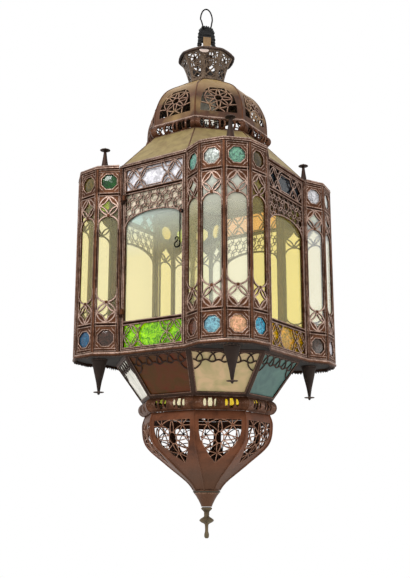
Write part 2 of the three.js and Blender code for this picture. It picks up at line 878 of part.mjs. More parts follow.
// Lamp, hung under the dome's plate
function lampStem() {
  const flange = lampTop - flangeHeight;
  return turned([[0, lampTop - stemHeight], [stemRadius, lampTop - stemHeight], [stemRadius, flange],
    [flangeRadius, flange], [flangeRadius, lampTop], [0, lampTop]], 8);
}

function lampHolder() {
  const top = lampTop - stemHeight - seatGap;
  const bottom = top - holderHeight;
  const profile = [[0, bottom], [holderRadius, bottom], [holderRadius, top - holderShoulder],
    [holderRadius / 2, top], [0, top]];
  return turned(profile, 10);
}

function lampBulb() {
  const top = lampTop - stemHeight - holderHeight - 2 * seatGap;
  const profile = [[0, top], [lampNeckRadius, top], [lampNeckRadius, top - lampNeckHeight]];
  const start = Math.asin(lampNeckRadius / lampRadius);
  const centre = top - lampNeckHeight - lampRadius * Math.cos(start);
  for (let i = 1; i <= 6; i++) {
    const angle = start + ((Math.PI - start) * i) / 6;
    profile.push([Math.max(0, lampRadius * Math.sin(angle)), centre + lampRadius * Math.cos(angle)]);
  }
  return turned(profile.reverse(), 10);
}

// Assembly
const lantern = new THREE.Group();
const hung = new THREE.Group();
hung.position.z = -hangHeight;
lantern.add(hung);

function add(name, geometry, material, turn = 0) {
  const mesh = new THREE.Mesh(geometry, material);
  mesh.name = name;
  mesh.rotation.z = turn;
  hung.add(mesh);
}

function addTurret(side, turn) {
  add(`turret_frame_${side}`, turretFrame(), copper, turn);
  add(`turret_glass_${side}`, turretGlass(), creamGlass, turn);
  add(`turret_cap_${side}`, turretCap(), copper, turn);
  add(`turret_finial_${side}`, turretFinial(), darkIron, turn);
  add(`pendant_${side}`, pendant(), darkIron, turn);
}

function addFlatSide(side, turn) {
  add(`side_frame_${side}`, sideFrame(), copper, turn);
  add(`side_glass_${side}`, sideGlass(), creamGlass, turn);
}

// Turrets and flat sides take turns round the body, and the door is the last flat side.
const turretSides = ["front", "right", "back", "left"];
const flatSides = ["front_right", "back_right", "back_left"];
const doorTurn = -eighth;
turretSides.forEach((side, i) => addTurret(side, i * 2 * eighth));
flatSides.forEach((side, i) => addFlatSide(side, (i * 2 + 1) * eighth));

add("door_frame", doorFrame(), copper, doorTurn);
add("door_glass", sideGlass(), creamGlass, doorTurn);
add("door_latch", doorLatch(), wireBlack, doorTurn);
add("hinge_lower", hingePin(hingeHeights[0]), darkIron, doorTurn);
add("hinge_upper", hingePin(hingeHeights[1]), darkIron, doorTurn);

add("base_tray", baseTray(), copper);
add("eaves_ring", eavesRing(), copper);
add("roof", roof(), tanTin);
add("upper_roll", slottedRoll(rollRadius, upperRollZ), copper);
add("dome", dome(), tanTin);
add("crown", crown(), copper);

add("taper_frame", taperFrame(), darkIron);
paneColours.forEach((colour, i) => add(`taper_pane_${i + 1}`, taperPane(), clear(colour), i * eighth));
add("lower_roll", slottedRoll(lowerRollRadius, lowerRollZ), copper);
add("bulb", bulb(), redCopper);
add("bulb_tip", bulbTip(), redCopper);
add("bottom_finial", bottomFinial(), redCopper);

add("bail", bail(), darkIron);
add("hanging_strap", hangingStrap(), brassTan);
add("cord_winding", cordWinding(), wireBlack);
add("wire_loop", wireLoop(), wireBlack);
add("lamp_stem", lampStem(), brassTan);
add("lamp_holder", lampHolder(), porcelain);
add("lamp_bulb", lampBulb(), clear(0xf4f0e4));

export default lantern;
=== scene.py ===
"""Hanging octagonal lantern of pierced copper and coloured glass.

Every piece is a surface worked out with numpy. Sizes are millimetres, heights count from the top of the
base tray, and the front looks along -Y. piece() turns them into the model's own frame, in metres.
"""

import math

import bmesh
import bpy
import numpy as np
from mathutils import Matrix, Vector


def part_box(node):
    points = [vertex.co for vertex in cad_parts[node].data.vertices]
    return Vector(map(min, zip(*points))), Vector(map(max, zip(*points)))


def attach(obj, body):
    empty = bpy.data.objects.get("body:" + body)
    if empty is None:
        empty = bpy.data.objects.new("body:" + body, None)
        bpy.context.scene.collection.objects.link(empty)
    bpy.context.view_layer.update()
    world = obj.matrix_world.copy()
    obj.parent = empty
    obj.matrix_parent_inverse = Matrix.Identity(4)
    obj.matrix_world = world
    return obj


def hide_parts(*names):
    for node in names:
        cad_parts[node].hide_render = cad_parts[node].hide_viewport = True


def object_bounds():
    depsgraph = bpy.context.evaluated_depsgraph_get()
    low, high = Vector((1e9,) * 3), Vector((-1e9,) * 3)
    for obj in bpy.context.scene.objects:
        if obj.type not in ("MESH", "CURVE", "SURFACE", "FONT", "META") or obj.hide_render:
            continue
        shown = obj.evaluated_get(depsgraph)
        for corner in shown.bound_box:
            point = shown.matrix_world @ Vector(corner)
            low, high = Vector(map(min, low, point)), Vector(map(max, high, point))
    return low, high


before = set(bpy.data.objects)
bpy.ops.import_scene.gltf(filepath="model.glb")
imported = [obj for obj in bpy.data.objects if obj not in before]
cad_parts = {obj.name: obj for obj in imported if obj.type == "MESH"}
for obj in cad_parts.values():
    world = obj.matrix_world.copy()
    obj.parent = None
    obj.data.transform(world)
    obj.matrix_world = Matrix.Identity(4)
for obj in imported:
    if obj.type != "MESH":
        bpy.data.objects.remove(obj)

cad_low, cad_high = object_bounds()
TRAY_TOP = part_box("base_tray")[1].z
EIGHTH = math.pi / 4
CORNERS = (np.arange(8) + 0.5) * EIGHTH
FLAT = math.cos(EIGHTH / 2)
HALF_FLAT = math.tan(EIGHTH / 2)
SHARP_ANGLE = math.radians(35)
MM = 0.001
rng = np.random.default_rng(7)

# Body sizes
GLAZED = 305.0
SIDE = 130.0
APOTHEM = SIDE / 2 / HALF_FLAT
TURRET_R = SIDE / 2
FACETS = 5
FACET_TURN = math.pi / FACETS
SIDE_HALF = 60.8
JEWEL_ROW = 44.0
BAND = 44.0
RAIL = 3.0
ROOF_FOOT = 309.3
ROOF_TOP = 374.3
ROLL_RING = 104.0
SEAT_R = ROLL_RING + 4.0
UPPER_ROLL = (384.1, 9.5)
DOME_FOOT = 393.9
DOME_TOP = DOME_FOOT + 106.0
DOME_TOP_R = 31.5
CROWN_FOOT = 500.2
CROWN_TOP = CROWN_FOOT + 52.0
CROWN_RIM = 49.0
TAPER_TOP = -3.3
TAPER_BOTTOM = -69.0
TAPER_SLOPE = 0.729
LOWER_ROLL = (-80.3, 11.0)
BULB_TOP = -91.6
BULB_FOOT = -210.6
BULB_R = 108.5
BULB_FOOT_R = 21.8
TIP_FOOT = -236.9
BAIL_FOOT = CROWN_FOOT
BAIL_TOP = 616.2
BAIL_ARCH = 11.0
BAIL_FOOT_HALF = 19.0
LOOP_BOTTOM = 610.1
LOOP_HEIGHT = 44.0

# Shells: each is points, four-sided faces (a repeated corner makes a triangle) and how much painted shade, or
# wear with a painted highlight, each point gets: low is painted in shade, high is worn bare with a painted
# highlight.
# What runs round and meets itself: the rows, the columns or both
ROWS, COLUMNS, BOTH = (True, False), (False, True), (True, True)


def grid(points, shading_and_wear=0.5, wrap=(False, False)):
    """A surface on rows and columns of points: each cell between neighbours becomes one face."""
    rows, columns = points.shape[:2]
    number = np.arange(rows * columns).reshape(rows, columns)
    if wrap[0]:
        number = np.vstack([number, number[:1]])
    if wrap[1]:
        number = np.hstack([number, number[:, :1]])
    faces = np.stack([number[:-1, :-1], number[:-1, 1:], number[1:, 1:], number[1:, :-1]], -1)
    shading_and_wear = np.broadcast_to(shading_and_wear, (rows, columns)).reshape(-1).astype(float)
    return points.reshape(-1, 3), faces.reshape(-1, 4), shading_and_wear


def by_row(shading_and_wear):
    return np.reshape(shading_and_wear, (-1, 1))


def capped(shell, size):
    """Closes both ends of a section of that many points, carried along the rows."""
    points, faces, shading_and_wear = shell
    i = np.arange(size // 2 - 1)
    cap = np.stack([i, i + 1, size - 2 - i, size - 1 - i], 1)
    return points, np.vstack([faces, cap, cap[:, ::-1] + len(points) - size]), shading_and_wear


def weld(shell):
    """Joins the points of one shell that lie on each other, so that seams and poles close."""
    points, faces, shading_and_wear = shell
    _, first, number = np.unique(np.round(points, 4), axis=0, return_index=True, return_inverse=True)
    return points[first], number.reshape(-1)[faces], shading_and_wear[first]


def turn_about_z(points, angle):
    """Points turned round the upright axis: x' = x cos a - y sin a, y' = x sin a + y cos a."""
    c, s = math.cos(angle), math.sin(angle)
    x, y = points[..., 0], points[..., 1]
    return np.stack([x * c - y * s, x * s + y * c, points[..., 2]], -1)


def turned_shells(shells, angle):
    return [(turn_about_z(points, angle), faces, shading_and_wear) for points, faces, shading_and_wear in shells]


def lifted(line, z):
    """Points of a plan at a height, or each at its own."""
    return np.column_stack([line, np.broadcast_to(z, len(line))])


def round_points(profile, turn, centre=(0, 0)):
    """Each radius and height of a profile at every angle of the turn round the upright axis."""
    r, z = np.asarray(profile, float).T[..., None]
    return np.stack([centre[0] + r * np.cos(turn), centre[1] + r * np.sin(turn), z + 0 * turn], -1)


def spun(profile, segments=40, shading_and_wear=0.5, centre=(0, 0)):
    """A turned shape: its profile starts and ends on the axis, or where it began."""
    turn = np.arange(segments) * 2 * math.pi / segments
    return weld(grid(round_points(profile, turn, centre), by_row(shading_and_wear), COLUMNS))


def eight_sided(profile, shading_and_wear):
    """A ring with eight flat sides: a closed section of corner radius and height pairs."""
    return grid(round_points(profile, CORNERS), by_row(shading_and_wear), BOTH)


def smooth_curve(points, steps):
    """A uniform Catmull-Rom curve through points, with its ends doubled, at equal steps of its parameter."""
    p = np.asarray(points, float)
    p = np.vstack([p[:1], p, p[-1:]])
    t = np.linspace(0, len(p) - 3, steps + 1)
    i = np.minimum(t.astype(int), len(p) - 4)
    u = (t - i)[:, None]
    a, b, c, d = p[i], p[i + 1], p[i + 2], p[i + 3]
    return 0.5 * (2 * b + (c - a) * u + (2 * a - 5 * b + 4 * c - d) * u**2 + (3 * b - a - 3 * c + d) * u**3)


def unit(vectors):
    return vectors / np.linalg.norm(vectors, axis=-1, keepdims=True)


def heading(path, closed=False):
    """The direction of a path at each of its points."""
    return unit(np.roll(path, -1, 0) - np.roll(path, 1, 0) if closed else np.gradient(path, axis=0))


def rightward(direction):
    return np.stack([direction[..., 1], -direction[..., 0]], -1)


def distances(path):
    """How far along a path each of its points lies."""
    return np.concatenate([[0], np.cumsum(np.hypot(*np.diff(path, axis=0).T))])


# Places: each turns across, along and outward distances on a panel into the body's frame
def upright_place(centre, angle, distance):
    """A flat upright panel that faces the angle, its zero face at the distance from the centre."""
    out = (math.sin(angle), -math.cos(angle))
    along = (math.cos(angle), math.sin(angle))

    def place(x, z, d):
        x, z, d = np.broadcast_arrays(x, z, d)
        flat = [centre[i] + out[i] * (distance + d) + along[i] * x for i in (0, 1)]
        return np.stack([*flat, z], -1)

    return place


def gore_place(profile, angle):
    """A curved side of an octagon: x runs across, s along the profile from its foot, d out of the sheet.
    The profile gives the corner radius and the height, and a side's middle lies at that radius times the
    cosine of an eighth of a half turn."""
    flat = profile * np.array([FLAT, 1])
    length = distances(flat)
    slope = unit(np.gradient(flat, length, axis=0))

    def place(x, s, d):
        x, s, d = np.broadcast_arrays(x, s, d)
        r, z, dr, dz = [np.interp(s, length, column) for column in (*flat.T, *slope.T)]
        return turn_about_z(np.stack([x, -(r + d * dz), z - d * dr], -1), angle)

    place.length = length[-1]
    place.half_width = lambda s: np.interp(s, length, flat[:, 0]) * HALF_FLAT
    return place


# Sections carried along paths on a panel: across, depth and the painted shading and wear of each point
def bar_section(width, low, high, edge=0.5):
    """A low bar with bevelled top edges, from its left foot over the top to its right foot."""
    half, inner, shoulder = width / 2, width / 2 - edge, high - edge * 0.8
    return np.array([[-half, low, 0], [-half, shoulder, 0.7], [-inner, high, 1],
                     [inner, high, 1], [half, shoulder, 0.7], [half, low, 0]])


def bead_section(width, low, high):
    """Two round beads with a groove between them, and a plain foot on both sides."""
    across = np.array([1, 1, 0.9, 0.7, 0.5, 0.32, 0.22]) * width / 2
    depth = low + (high - low) * np.array([0, 0.55, 0.88, 1, 0.88, 0.5, 0.05])
    left = np.stack([-across, depth, [0, 0.3, 0.9, 1, 0.9, 0.2, 0]], 1)
    return np.vstack([left, (left * [-1, 1, 1])[::-1]])


def carried(path, section, place, closed=False, mitred=False):
    """A section carried along a path on a panel, square to the path, with flat ends where it is open. Round a
    mitred outline, each corner's offset is the sum of its two edges' normals."""
    path = np.asarray(path, float)
    tangent = heading(path, closed)
    if mitred:
        edge = unit(np.roll(path, -1, 0) - path)
        tangent, closed = edge + np.roll(edge, 1, 0), True
    flat = path[:, None] + rightward(tangent)[:, None] * section[None, :, :1]
    shell = grid(place(flat[..., 0], flat[..., 1], section[None, :, 1]), section[:, 2], (closed, True))
    return shell if closed else capped(shell, len(section))


def bowed(p, q, sag, steps=9):
    """A curve from p to q that bows to its right by sag at the middle: 4 sag t (1 - t) off the chord."""
    p, q = np.asarray(p, float), np.asarray(q, float)
    t = np.linspace(0, 1, steps)[:, None]
    return p + (q - p) * t + rightward(unit(q - p)) * 4 * sag * t * (1 - t)


def oval(centre, rx, ry, start=0.0, sweep=2 * math.pi, steps=25):
    """Points round an ellipse from a start angle, over a sweep."""
    angle = start + sweep * np.linspace(0, 1, steps)
    return np.stack([centre[0] + rx * np.cos(angle), centre[1] + ry * np.sin(angle)], 1)


def fretwork(paths, inside, section, place):
    """Pierced ornament: the stretches of each path that lie inside the opening become ribs."""
    shells = []
    for path in paths:
        mask = inside(path[:, 0], path[:, 1])
        cuts = np.flatnonzero(np.diff(mask.astype(int))) + 1
        runs = zip(np.split(path, cuts), np.split(mask, cuts))
        shells += [carried(run, section, place) for run, kept in runs if kept[0] and len(run) > 2]
    return shells


def sheet(top, below, shading_and_wear):
    """Sheet between two faces on rows and columns of points, closed all round."""
    ring = np.concatenate([top, below[::-1]])
    points, faces, shading_and_wear = grid(ring, shading_and_wear, ROWS)
    rows, columns = ring.shape[:2]
    i = np.arange(len(top) - 1)
    for column in (0, columns - 1):
        upper, lower = i * columns + column, (rows - 1 - i) * columns + column
        faces = np.vstack([faces, np.stack([upper, upper + columns, lower - columns, lower], 1)])
    return points, faces, shading_and_wear


def sheet_ring(outer, inner, low, high, place, steps=1, shading_and_wear=0.45):
    """Sheet between two outlines of as many points: its cut edge goes out along the top and back below,
    and t runs evenly from the outer outline to the inner one."""
    t = np.linspace(0, 1, steps + 1)
    t = np.concatenate([t, t[::-1]])[:, None, None]
    # The top takes the given shading and wear, the back is painted in shade, and the cut edge along the inner
    # outline gets a painted highlight.
    depth, shade = np.repeat([high, low], steps + 1), np.repeat([shading_and_wear, 0], steps + 1)
    shade[steps] = 0.8
    flat = outer[None] * (1 - t) + inner[None] * t
    return grid(place(flat[..., 0], flat[..., 1], by_row(depth)), by_row(shade), BOTH)


def sheet_patch(left, right, low, high, place, steps=2, shading_and_wear=0.4):
    """Sheet between two lines of as many points: t runs evenly from the left line to the right one."""
    t = np.linspace(0, 1, steps + 1)[:, None, None]
    flat = left[None] * (1 - t) + right[None] * t
    return sheet(place(flat[..., 0], flat[..., 1], high), place(flat[..., 0], flat[..., 1], low), shading_and_wear)


def pane(outline, low, high, place, bulge=0.0, rings=3):
    """A pane with a convex outline: rings shrink evenly to its middle, which stands out by the bulge."""
    outline = np.asarray(outline, float)
    middle = (outline.min(0) + outline.max(0)) / 2
    t = np.linspace(0, 1, rings + 1)[:, None, None]
    flat = outline[None] * (1 - t) + middle * t
    top = place(flat[..., 0], flat[..., 1], high + bulge * (1 - (1 - t[..., 0]) ** 2))
    below = place(flat[..., 0], flat[..., 1], low)
    return weld(grid(np.concatenate([top[::-1], below]), 0.5, COLUMNS))


def box_outline(half, bottom, top):
    return np.array([[-half, bottom], [half, bottom], [half, top], [-half, top]], float)


def resampled(outline, count):
    """A closed outline at equal steps of its length, from its first point."""
    ring = np.vstack([outline, outline[:1]])
    length = distances(ring)
    at = np.linspace(0, length[-1], count, endpoint=False)
    return np.stack([np.interp(at, length, ring[:, i]) for i in (0, 1)], 1)


def tube(path, radius, out, sides=10, closed=False):
    """A round wire along a path in space. out is a direction, or one a point, that is never along the
    path: the section's axes are path x out and that cross product x path."""
    along = heading(path, closed)
    across = unit(np.cross(along, np.broadcast_to(out, path.shape)))
    up = np.cross(across, along)
    angle = np.arange(sides) * 2 * math.pi / sides
    ring = across[:, None] * np.cos(angle)[:, None] + up[:, None] * np.sin(angle)[:, None]
    points = path[:, None] + radius * ring
    if closed:
        return grid(points, 0.5, BOTH)
    first, last = [np.repeat(path[i][None, None], sides, 1) for i in (0, -1)]
    return weld(grid(np.concatenate([first, points, last]), 0.5, COLUMNS))


# Materials
def linear(hexadecimal):
    """An sRGB hex colour as linear red, green, blue and alpha."""
    parts = [int(hexadecimal[i:i + 2], 16) / 255 for i in (1, 3, 5)]
    return (*[p / 12.92 if p <= 0.04045 else ((p + 0.055) / 1.055) ** 2.4 for p in parts], 1.0)


def feed(tree, node, inputs):
    """Sets a node's inputs: each is a value, a hex colour or the socket that feeds it."""
    for key, value in inputs.items():
        if isinstance(value, bpy.types.NodeSocket):
            tree.links.new(value, node.inputs[key])
        else:
            node.inputs[key].default_value = linear(value) if isinstance(value, str) else value


def add(tree, kind, inputs, output=0, **settings):
    """Adds a node with its inputs and its own settings, and gives one of its outputs."""
    made = tree.nodes.new("ShaderNode" + kind)
    for key, value in settings.items():
        setattr(made, key, value)
    feed(tree, made, inputs)
    return made.outputs[output]


def started(name):
    """A new material with a surface shader, its tree and the piece's own coordinates."""
    material = bpy.data.materials.new(name)
    material.use_nodes = True
    tree = material.node_tree
    return material, tree, tree.nodes["Principled BSDF"], add(tree, "TexCoord", {}, "Object")


def per_mm(size):
    """A pattern's scale for a feature size in millimetres, on coordinates in metres."""
    return 1000 / size


def climb(tree, spot, low, high, share):
    """Rises from 0 to a share between two heights above the tray top."""
    level = add(tree, "SeparateXYZ", {0: spot}, "Z")
    return add(tree, "MapRange", {0: level, 1: TRAY_TOP + low * MM, 2: TRAY_TOP + high * MM, 4: share})


def worn_metal(name, shade_colour, body, bare_metal_and_highlight, patina=None, metallic=0.8, roughness=0.5, blotch=22, grain=1.6,
               patina_share=0.5, bloom=None):
    """Old sheet: the body colour in blotches, a painted shade colour in the hollows and on the backs of
    sheets, and on raised edges the bare metal of wear with a painted highlight. The painted highlight breaks
    up in streaks with the fine grain and the blotches. The patina thickens between the two heights of the
    bloom."""
    material, tree, shader, spot = started(name)
    shading_and_wear = add(tree, "Attribute", {}, "Fac", attribute_name="shading_and_wear")
    cloud = add(tree, "TexNoise", {"Vector": spot, "Scale": per_mm(blotch), "Detail": 5.0, "Roughness": 0.62})
    fine = add(tree, "TexNoise", {"Vector": spot, "Scale": per_mm(grain), "Detail": 3.0, "Roughness": 0.6})
    layers = [(add(tree, "MapRange", {0: cloud, 1: 0.32, 2: 0.58, 3: 0.35}), body)]
    if patina:
        wide = add(tree, "TexNoise", {"Vector": spot, "Scale": per_mm(blotch * 2.3), "Detail": 4.0})
        share = add(tree, "MapRange", {0: wide, 1: 0.52, 2: 0.7, 4: patina_share})
        if bloom:
            share = add(tree, "Math", {0: share, 1: climb(tree, spot, *bloom, 0.9)}, operation="MAXIMUM")
        layers.append((share, patina))
    # Painted shade: the shade colour where the shading and wear run low.
    layers.append((add(tree, "MapRange", {0: shading_and_wear, 2: 0.35, 3: 0.92, 4: 0.0}), shade_colour))
    # Painted highlight over worn bare metal, where the shading and wear and the noise together run high.
    raised = add(tree, "Math", {0: shading_and_wear, 1: fine}, operation="ADD")
    raised = add(tree, "Math", {0: cloud, 1: 0.5, 2: raised}, operation="MULTIPLY_ADD")
    highlight_and_polish = add(tree, "MapRange", {0: raised, 1: 1.5, 2: 2.05, 4: 0.9})
    colour = shade_colour
    for share, layer in (*layers, (highlight_and_polish, bare_metal_and_highlight)):
        colour = add(tree, "Mix", {0: share, 6: colour, 7: layer}, 2, data_type="RGBA")
    height = add(tree, "Math", {0: cloud, 1: fine}, operation="ADD")
    feed(tree, shader, {
        "Base Color": colour, "Metallic": metallic,
        "Roughness": add(tree, "MapRange", {0: highlight_and_polish, 3: roughness + 0.12, 4: roughness - 0.12}),
        "Normal": add(tree, "Bump", {"Height": height, "Strength": 0.35, "Distance": 0.0006})})
    return material


def cast_glass(name, colour, roughness, ripple, depth, haze, mottle=None, ior=1.45, reflection_veil=None):
    """Cheap rolled glass: clear but for a slow ripple, and a light haze of dust that greys what lies behind
    it. Without a colour, each pane takes its own from the tint attribute. Mottled glass varies in value and
    hue over patches of a size: mottle is size, lowest and highest value. A painted reflection pales the glass
    between two heights and lets less through: its argument is both heights, its share at the top and its
    colour."""
    material, tree, shader, spot = started(name)
    colour = colour or add(tree, "Attribute", {}, "Color", attribute_name="tint")
    clear = 1 - haze
    if mottle:
        size, pale, bright = mottle
        patch = add(tree, "TexNoise", {"Vector": spot, "Scale": per_mm(size), "Detail": 3.0,
                                       "Distortion": 1.2})
        value, hue = [add(tree, "MapRange", {0: patch, 1: 0.35, 2: 0.65, 3: low, 4: high})
                      for low, high in ((pale, bright), (0.515, 0.48))]
        colour = add(tree, "HueSaturation", {"Color": colour, "Value": value, "Hue": hue})
    # Painted reflection: towards the top the glass takes a pale colour and lets less light through.
    if reflection_veil:
        low, high, share, reflection_colour = reflection_veil
        rise = climb(tree, spot, low, high, 1.0)
        colour = add(tree, "Mix", {0: rise, 6: colour, 7: reflection_colour}, 2, data_type="RGBA")
        clear = add(tree, "MapRange", {0: rise, 3: 1 - haze, 4: 1 - share})
    wave = add(tree, "TexNoise", {"Vector": spot, "Scale": per_mm(ripple), "Detail": 2.0})
    shader.inputs["Transmission Weight"].default_value = 1 - haze
    feed(tree, shader, {
        "Base Color": colour, "Transmission Weight": clear, "Roughness": roughness, "IOR": ior,
        "Normal": add(tree, "Bump", {"Height": wave, "Strength": 0.5, "Distance": depth})})
    return material


# Metals: painted shade colour of the hollows, colour of the body, and colour of the worn edges with their
# painted highlight, then patina, metallic and roughness
COPPER = worn_metal("aged_copper_sheet", "#221108", "#5d3a26", "#e2c6b6", None, 0.88, 0.42, 13)
ROOF_TIN = worn_metal("ochre_tarnished_tin", "#645230", "#89784b", "#b1a173", "#6a5136", 0.3, 0.6, 14, 2.0,
                      bloom=(ROOF_FOOT + 11, ROOF_FOOT - 6))
DOME_TIN = worn_metal("dome_tarnished_tin", "#24150e", "#5c3e2d", "#b8967f", "#ab8e5b", 0.6, 0.5, 22, 2.0,
                      bloom=(DOME_FOOT + 45, DOME_FOOT + 98))
RED_COPPER = worn_metal("reddened_copper_sheet", "#2e170b", "#6c3f27", "#cfa58a", "#543a2a", 0.75, 0.4, 24,
                        patina_share=0.7, bloom=(BULB_TOP - 62, BULB_TOP - 100))
IRON = worn_metal("dark_wrought_iron", "#120c09", "#33241c", "#7a6254", None, 0.5, 0.6)
CROWN_METAL = worn_metal("grey_brown_crown_sheet", "#0e0805", "#2b1d13", "#8f7b69", None, 0.95, 0.42, 9)
TAPER_METAL = worn_metal("dark_brown_came", "#150d08", "#3a251a", "#8f6d5b", None, 0.6, 0.5)
KNOB_BRONZE = worn_metal("grey_green_bronze", "#241e16", "#62533c", "#a8987c", "#575642", 0.6, 0.5, 8)
# Near-black colour that paints the shade on the tray's underside.
SHADED_UNDERSIDE = worn_metal("painted_shade_underside", "#0c0907", "#1d1612", "#3a2d26", None, 0.1, 0.85)
WIRE = worn_metal("black_annealed_wire", "#050404", "#0e0d0c", "#2e2b29", None, 0.9, 0.45)
CORD = worn_metal("black_waxed_cord", "#050505", "#0f0f0f", "#262525", None, 0.0, 0.7, grain=0.7)
BRASS = worn_metal("tarnished_brass_strap", "#553f2c", "#927653", "#c0a67c", None, 0.5, 0.5)
VERDIGRIS = worn_metal("verdigris_crust", "#1f221b", "#3c4236", "#69735f", None, 0.3, 0.7, grain=1.0)
# Pale bright colour of the patch on the crown's front.
BRIGHT_PATCH_COLOUR = worn_metal("pale_bright_patch", "#a08a80", "#dccbc2", "#f2e8e2", None, 0.4, 0.4)
PORCELAIN = worn_metal("glazed_porcelain", "#d9d3c4", "#ece7db", "#f5f2ea", None, 0.0, 0.25)

# Glasses: colour, roughness, size and depth of the ripple, and haze
PANE_GLASS = cast_glass("rolled_pane_glass", None, 0.0, 40, 0.0002, 0.08, ior=1.25)
# The door glass and the veiled pane glass pale towards their tops with a painted reflection of the white
# room.
DOOR_GLASS = cast_glass("dusty_reflection_veiled_glass", None, 0.0, 40, 0.0002, 0.1, ior=1.35,
                        reflection_veil=(150, 230, 0.32, "#dfece6"))
REFLECTION_VEILED_GLASS = cast_glass("reflection_veiled_pane_glass", None, 0.0, 30, 0.0002, 0.18, ior=1.35,
                          reflection_veil=(185, 265, 0.46, "#eef2ea"))
LACE_GLASS = cast_glass("dull_lace_glass", None, 0.1, 9, 0.0004, 0.55, (11, 0.5, 1.4))
JEWEL_GLASS = cast_glass("pressed_jewel_glass", None, 0.12, 5, 0.0009, 0.4, (4.5, 0.4, 1.5))
HAMMERED_GLASS = cast_glass("hammered_glass", None, 0.08, 4, 0.0009, 0.35, (6, 0.45, 1.6))
FROSTED_GLASS = cast_glass("frosted_band_glass", None, 0.15, 6, 0.0008, 0.7, (9, 0.6, 1.25))
TAPER_GLASS = cast_glass("rolled_taper_glass", None, 0.05, 12, 0.0003, 0.1)
OPAL_GLASS = cast_glass("clouded_taper_glass", None, 0.4, 9, 0.0006, 0.8, (26, 0.78, 1.15), 1.25)
LAMP_GLASS = cast_glass("clear_lamp_glass", "#f4f0e4", 0.03, 30, 0.0001, 0.05)


# Pieces
def piece(name, shells, material, node, body="lantern", tints=None):
    """Puts shells into one mesh with faces pointing out, hangs it on what it rides on, and hides the CAD part
    it stands for.
    """
    counts = np.array([len(shell[0]) for shell in shells])
    points = np.concatenate([shell[0] for shell in shells]) * MM + np.array([0, 0, TRAY_TOP])
    faces = np.concatenate([shell[1] + start for shell, start in zip(shells, np.cumsum(counts) - counts)])
    kept = faces != np.roll(faces, 1, axis=1)
    whole = kept.sum(1) > 2
    faces, kept = faces[whole], kept[whole]
    sizes = kept.sum(1)
    mesh = bpy.data.meshes.new(name)
    mesh.vertices.add(len(points))
    mesh.vertices.foreach_set("co", points.astype(np.float32).ravel())
    mesh.loops.add(int(sizes.sum()))
    mesh.loops.foreach_set("vertex_index", faces[kept].astype(np.int32))
    mesh.polygons.add(len(sizes))
    mesh.polygons.foreach_set("loop_start", (np.cumsum(sizes) - sizes).astype(np.int32))
    shading_and_wear = np.concatenate([shell[2] for shell in shells])
    mesh.attributes.new("shading_and_wear", "FLOAT", "POINT").data.foreach_set("value", shading_and_wear.astype(np.float32))
    if tints is not None:
        colours = np.repeat([linear(tint) for tint in tints], counts, axis=0)
        layer = mesh.attributes.new("tint", "FLOAT_COLOR", "POINT")
        layer.data.foreach_set("color", colours.astype(np.float32).ravel())
    mesh.update(calc_edges=True)
    work = bmesh.new()
    work.from_mesh(mesh)
    bmesh.ops.recalc_face_normals(work, faces=work.faces)
    work.to_mesh(mesh)
    work.free()
    mesh.shade_smooth()
    mesh.set_sharp_from_angle(angle=SHARP_ANGLE)
    mesh.materials.append(material)
    made = bpy.data.objects.new(name, mesh)
    bpy.context.scene.collection.objects.link(made)
    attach(made, body)
    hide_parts(node)


# Turrets
PLATE_HALF = 17.4
PLATE_RISE = 18.9
JEWEL_HOLE = 14.2
LATTICE_Z = 63.5
LEAF_W, LEAF_H, LEAF_SAG = 15.6, 16.5, 3.3
EDGE_RAIL = 3.2
LID_BACK, LID_MIDDLE, LID_RISE = 4.4, 26, 7.9
SPIKE_OUT = APOTHEM + 22
RIB = bar_section(2.5, -1.2, 1.3)
THIN_RIB = bar_section(1.6, -1.0, 1.0, 0.4)
WIDE_RAIL = bead_section(7.0, -1.2, 2.0)
NARROW_RAIL = bead_section(5.6, -1.2, 1.6)
# Strips behind the far corners, on the flat beside them: two edges across it and two depths
CORNER_STOPS = ((-64.8, -60, -8.4, -7.4), (-64.8, -63.6, -7.6, -1.0))
# Half a corner post: out along its facet, away from it, and its painted shading and wear: shade in the
# grooves, wear and a painted highlight on the crests
POST_HALF = np.array([[4.8, -0.8, 0], [4.8, 0.3, 0.2], [4.5, 1.3, 0.8], [4.0, 1.6, 1], [3.5, 1.2, 0.6],
                      [3.3, -0.3, 0], [2.3, -0.4, 0], [2.0, 1.3, 0.4], [1.5, 2.1, 0.9], [0.7, 2.3, 0.5]])
FACET_APOTHEM = TURRET_R * math.cos(FACET_TURN / 2)
FACET_PLACES = [upright_place((0, -APOTHEM), (i - (FACETS - 1) / 2) * FACET_TURN, FACET_APOTHEM)
                for i in range(FACETS)]


def lens(p, q, sag):
    """Two bowed ribs that part and meet again, as the sides of a leaf."""
    return [bowed(p, q, sag), bowed(p, q, -sag)]


def diamond_lattice(x, z, w, h, sag):
    """Four leaves round a hollow diamond, tip to tip."""
    tips = [(x, z + h), (x + w, z), (x, z - h), (x - w, z)]
    return [path for i in range(4) for path in lens(tips[i], tips[(i + 1) % 4], sag)]


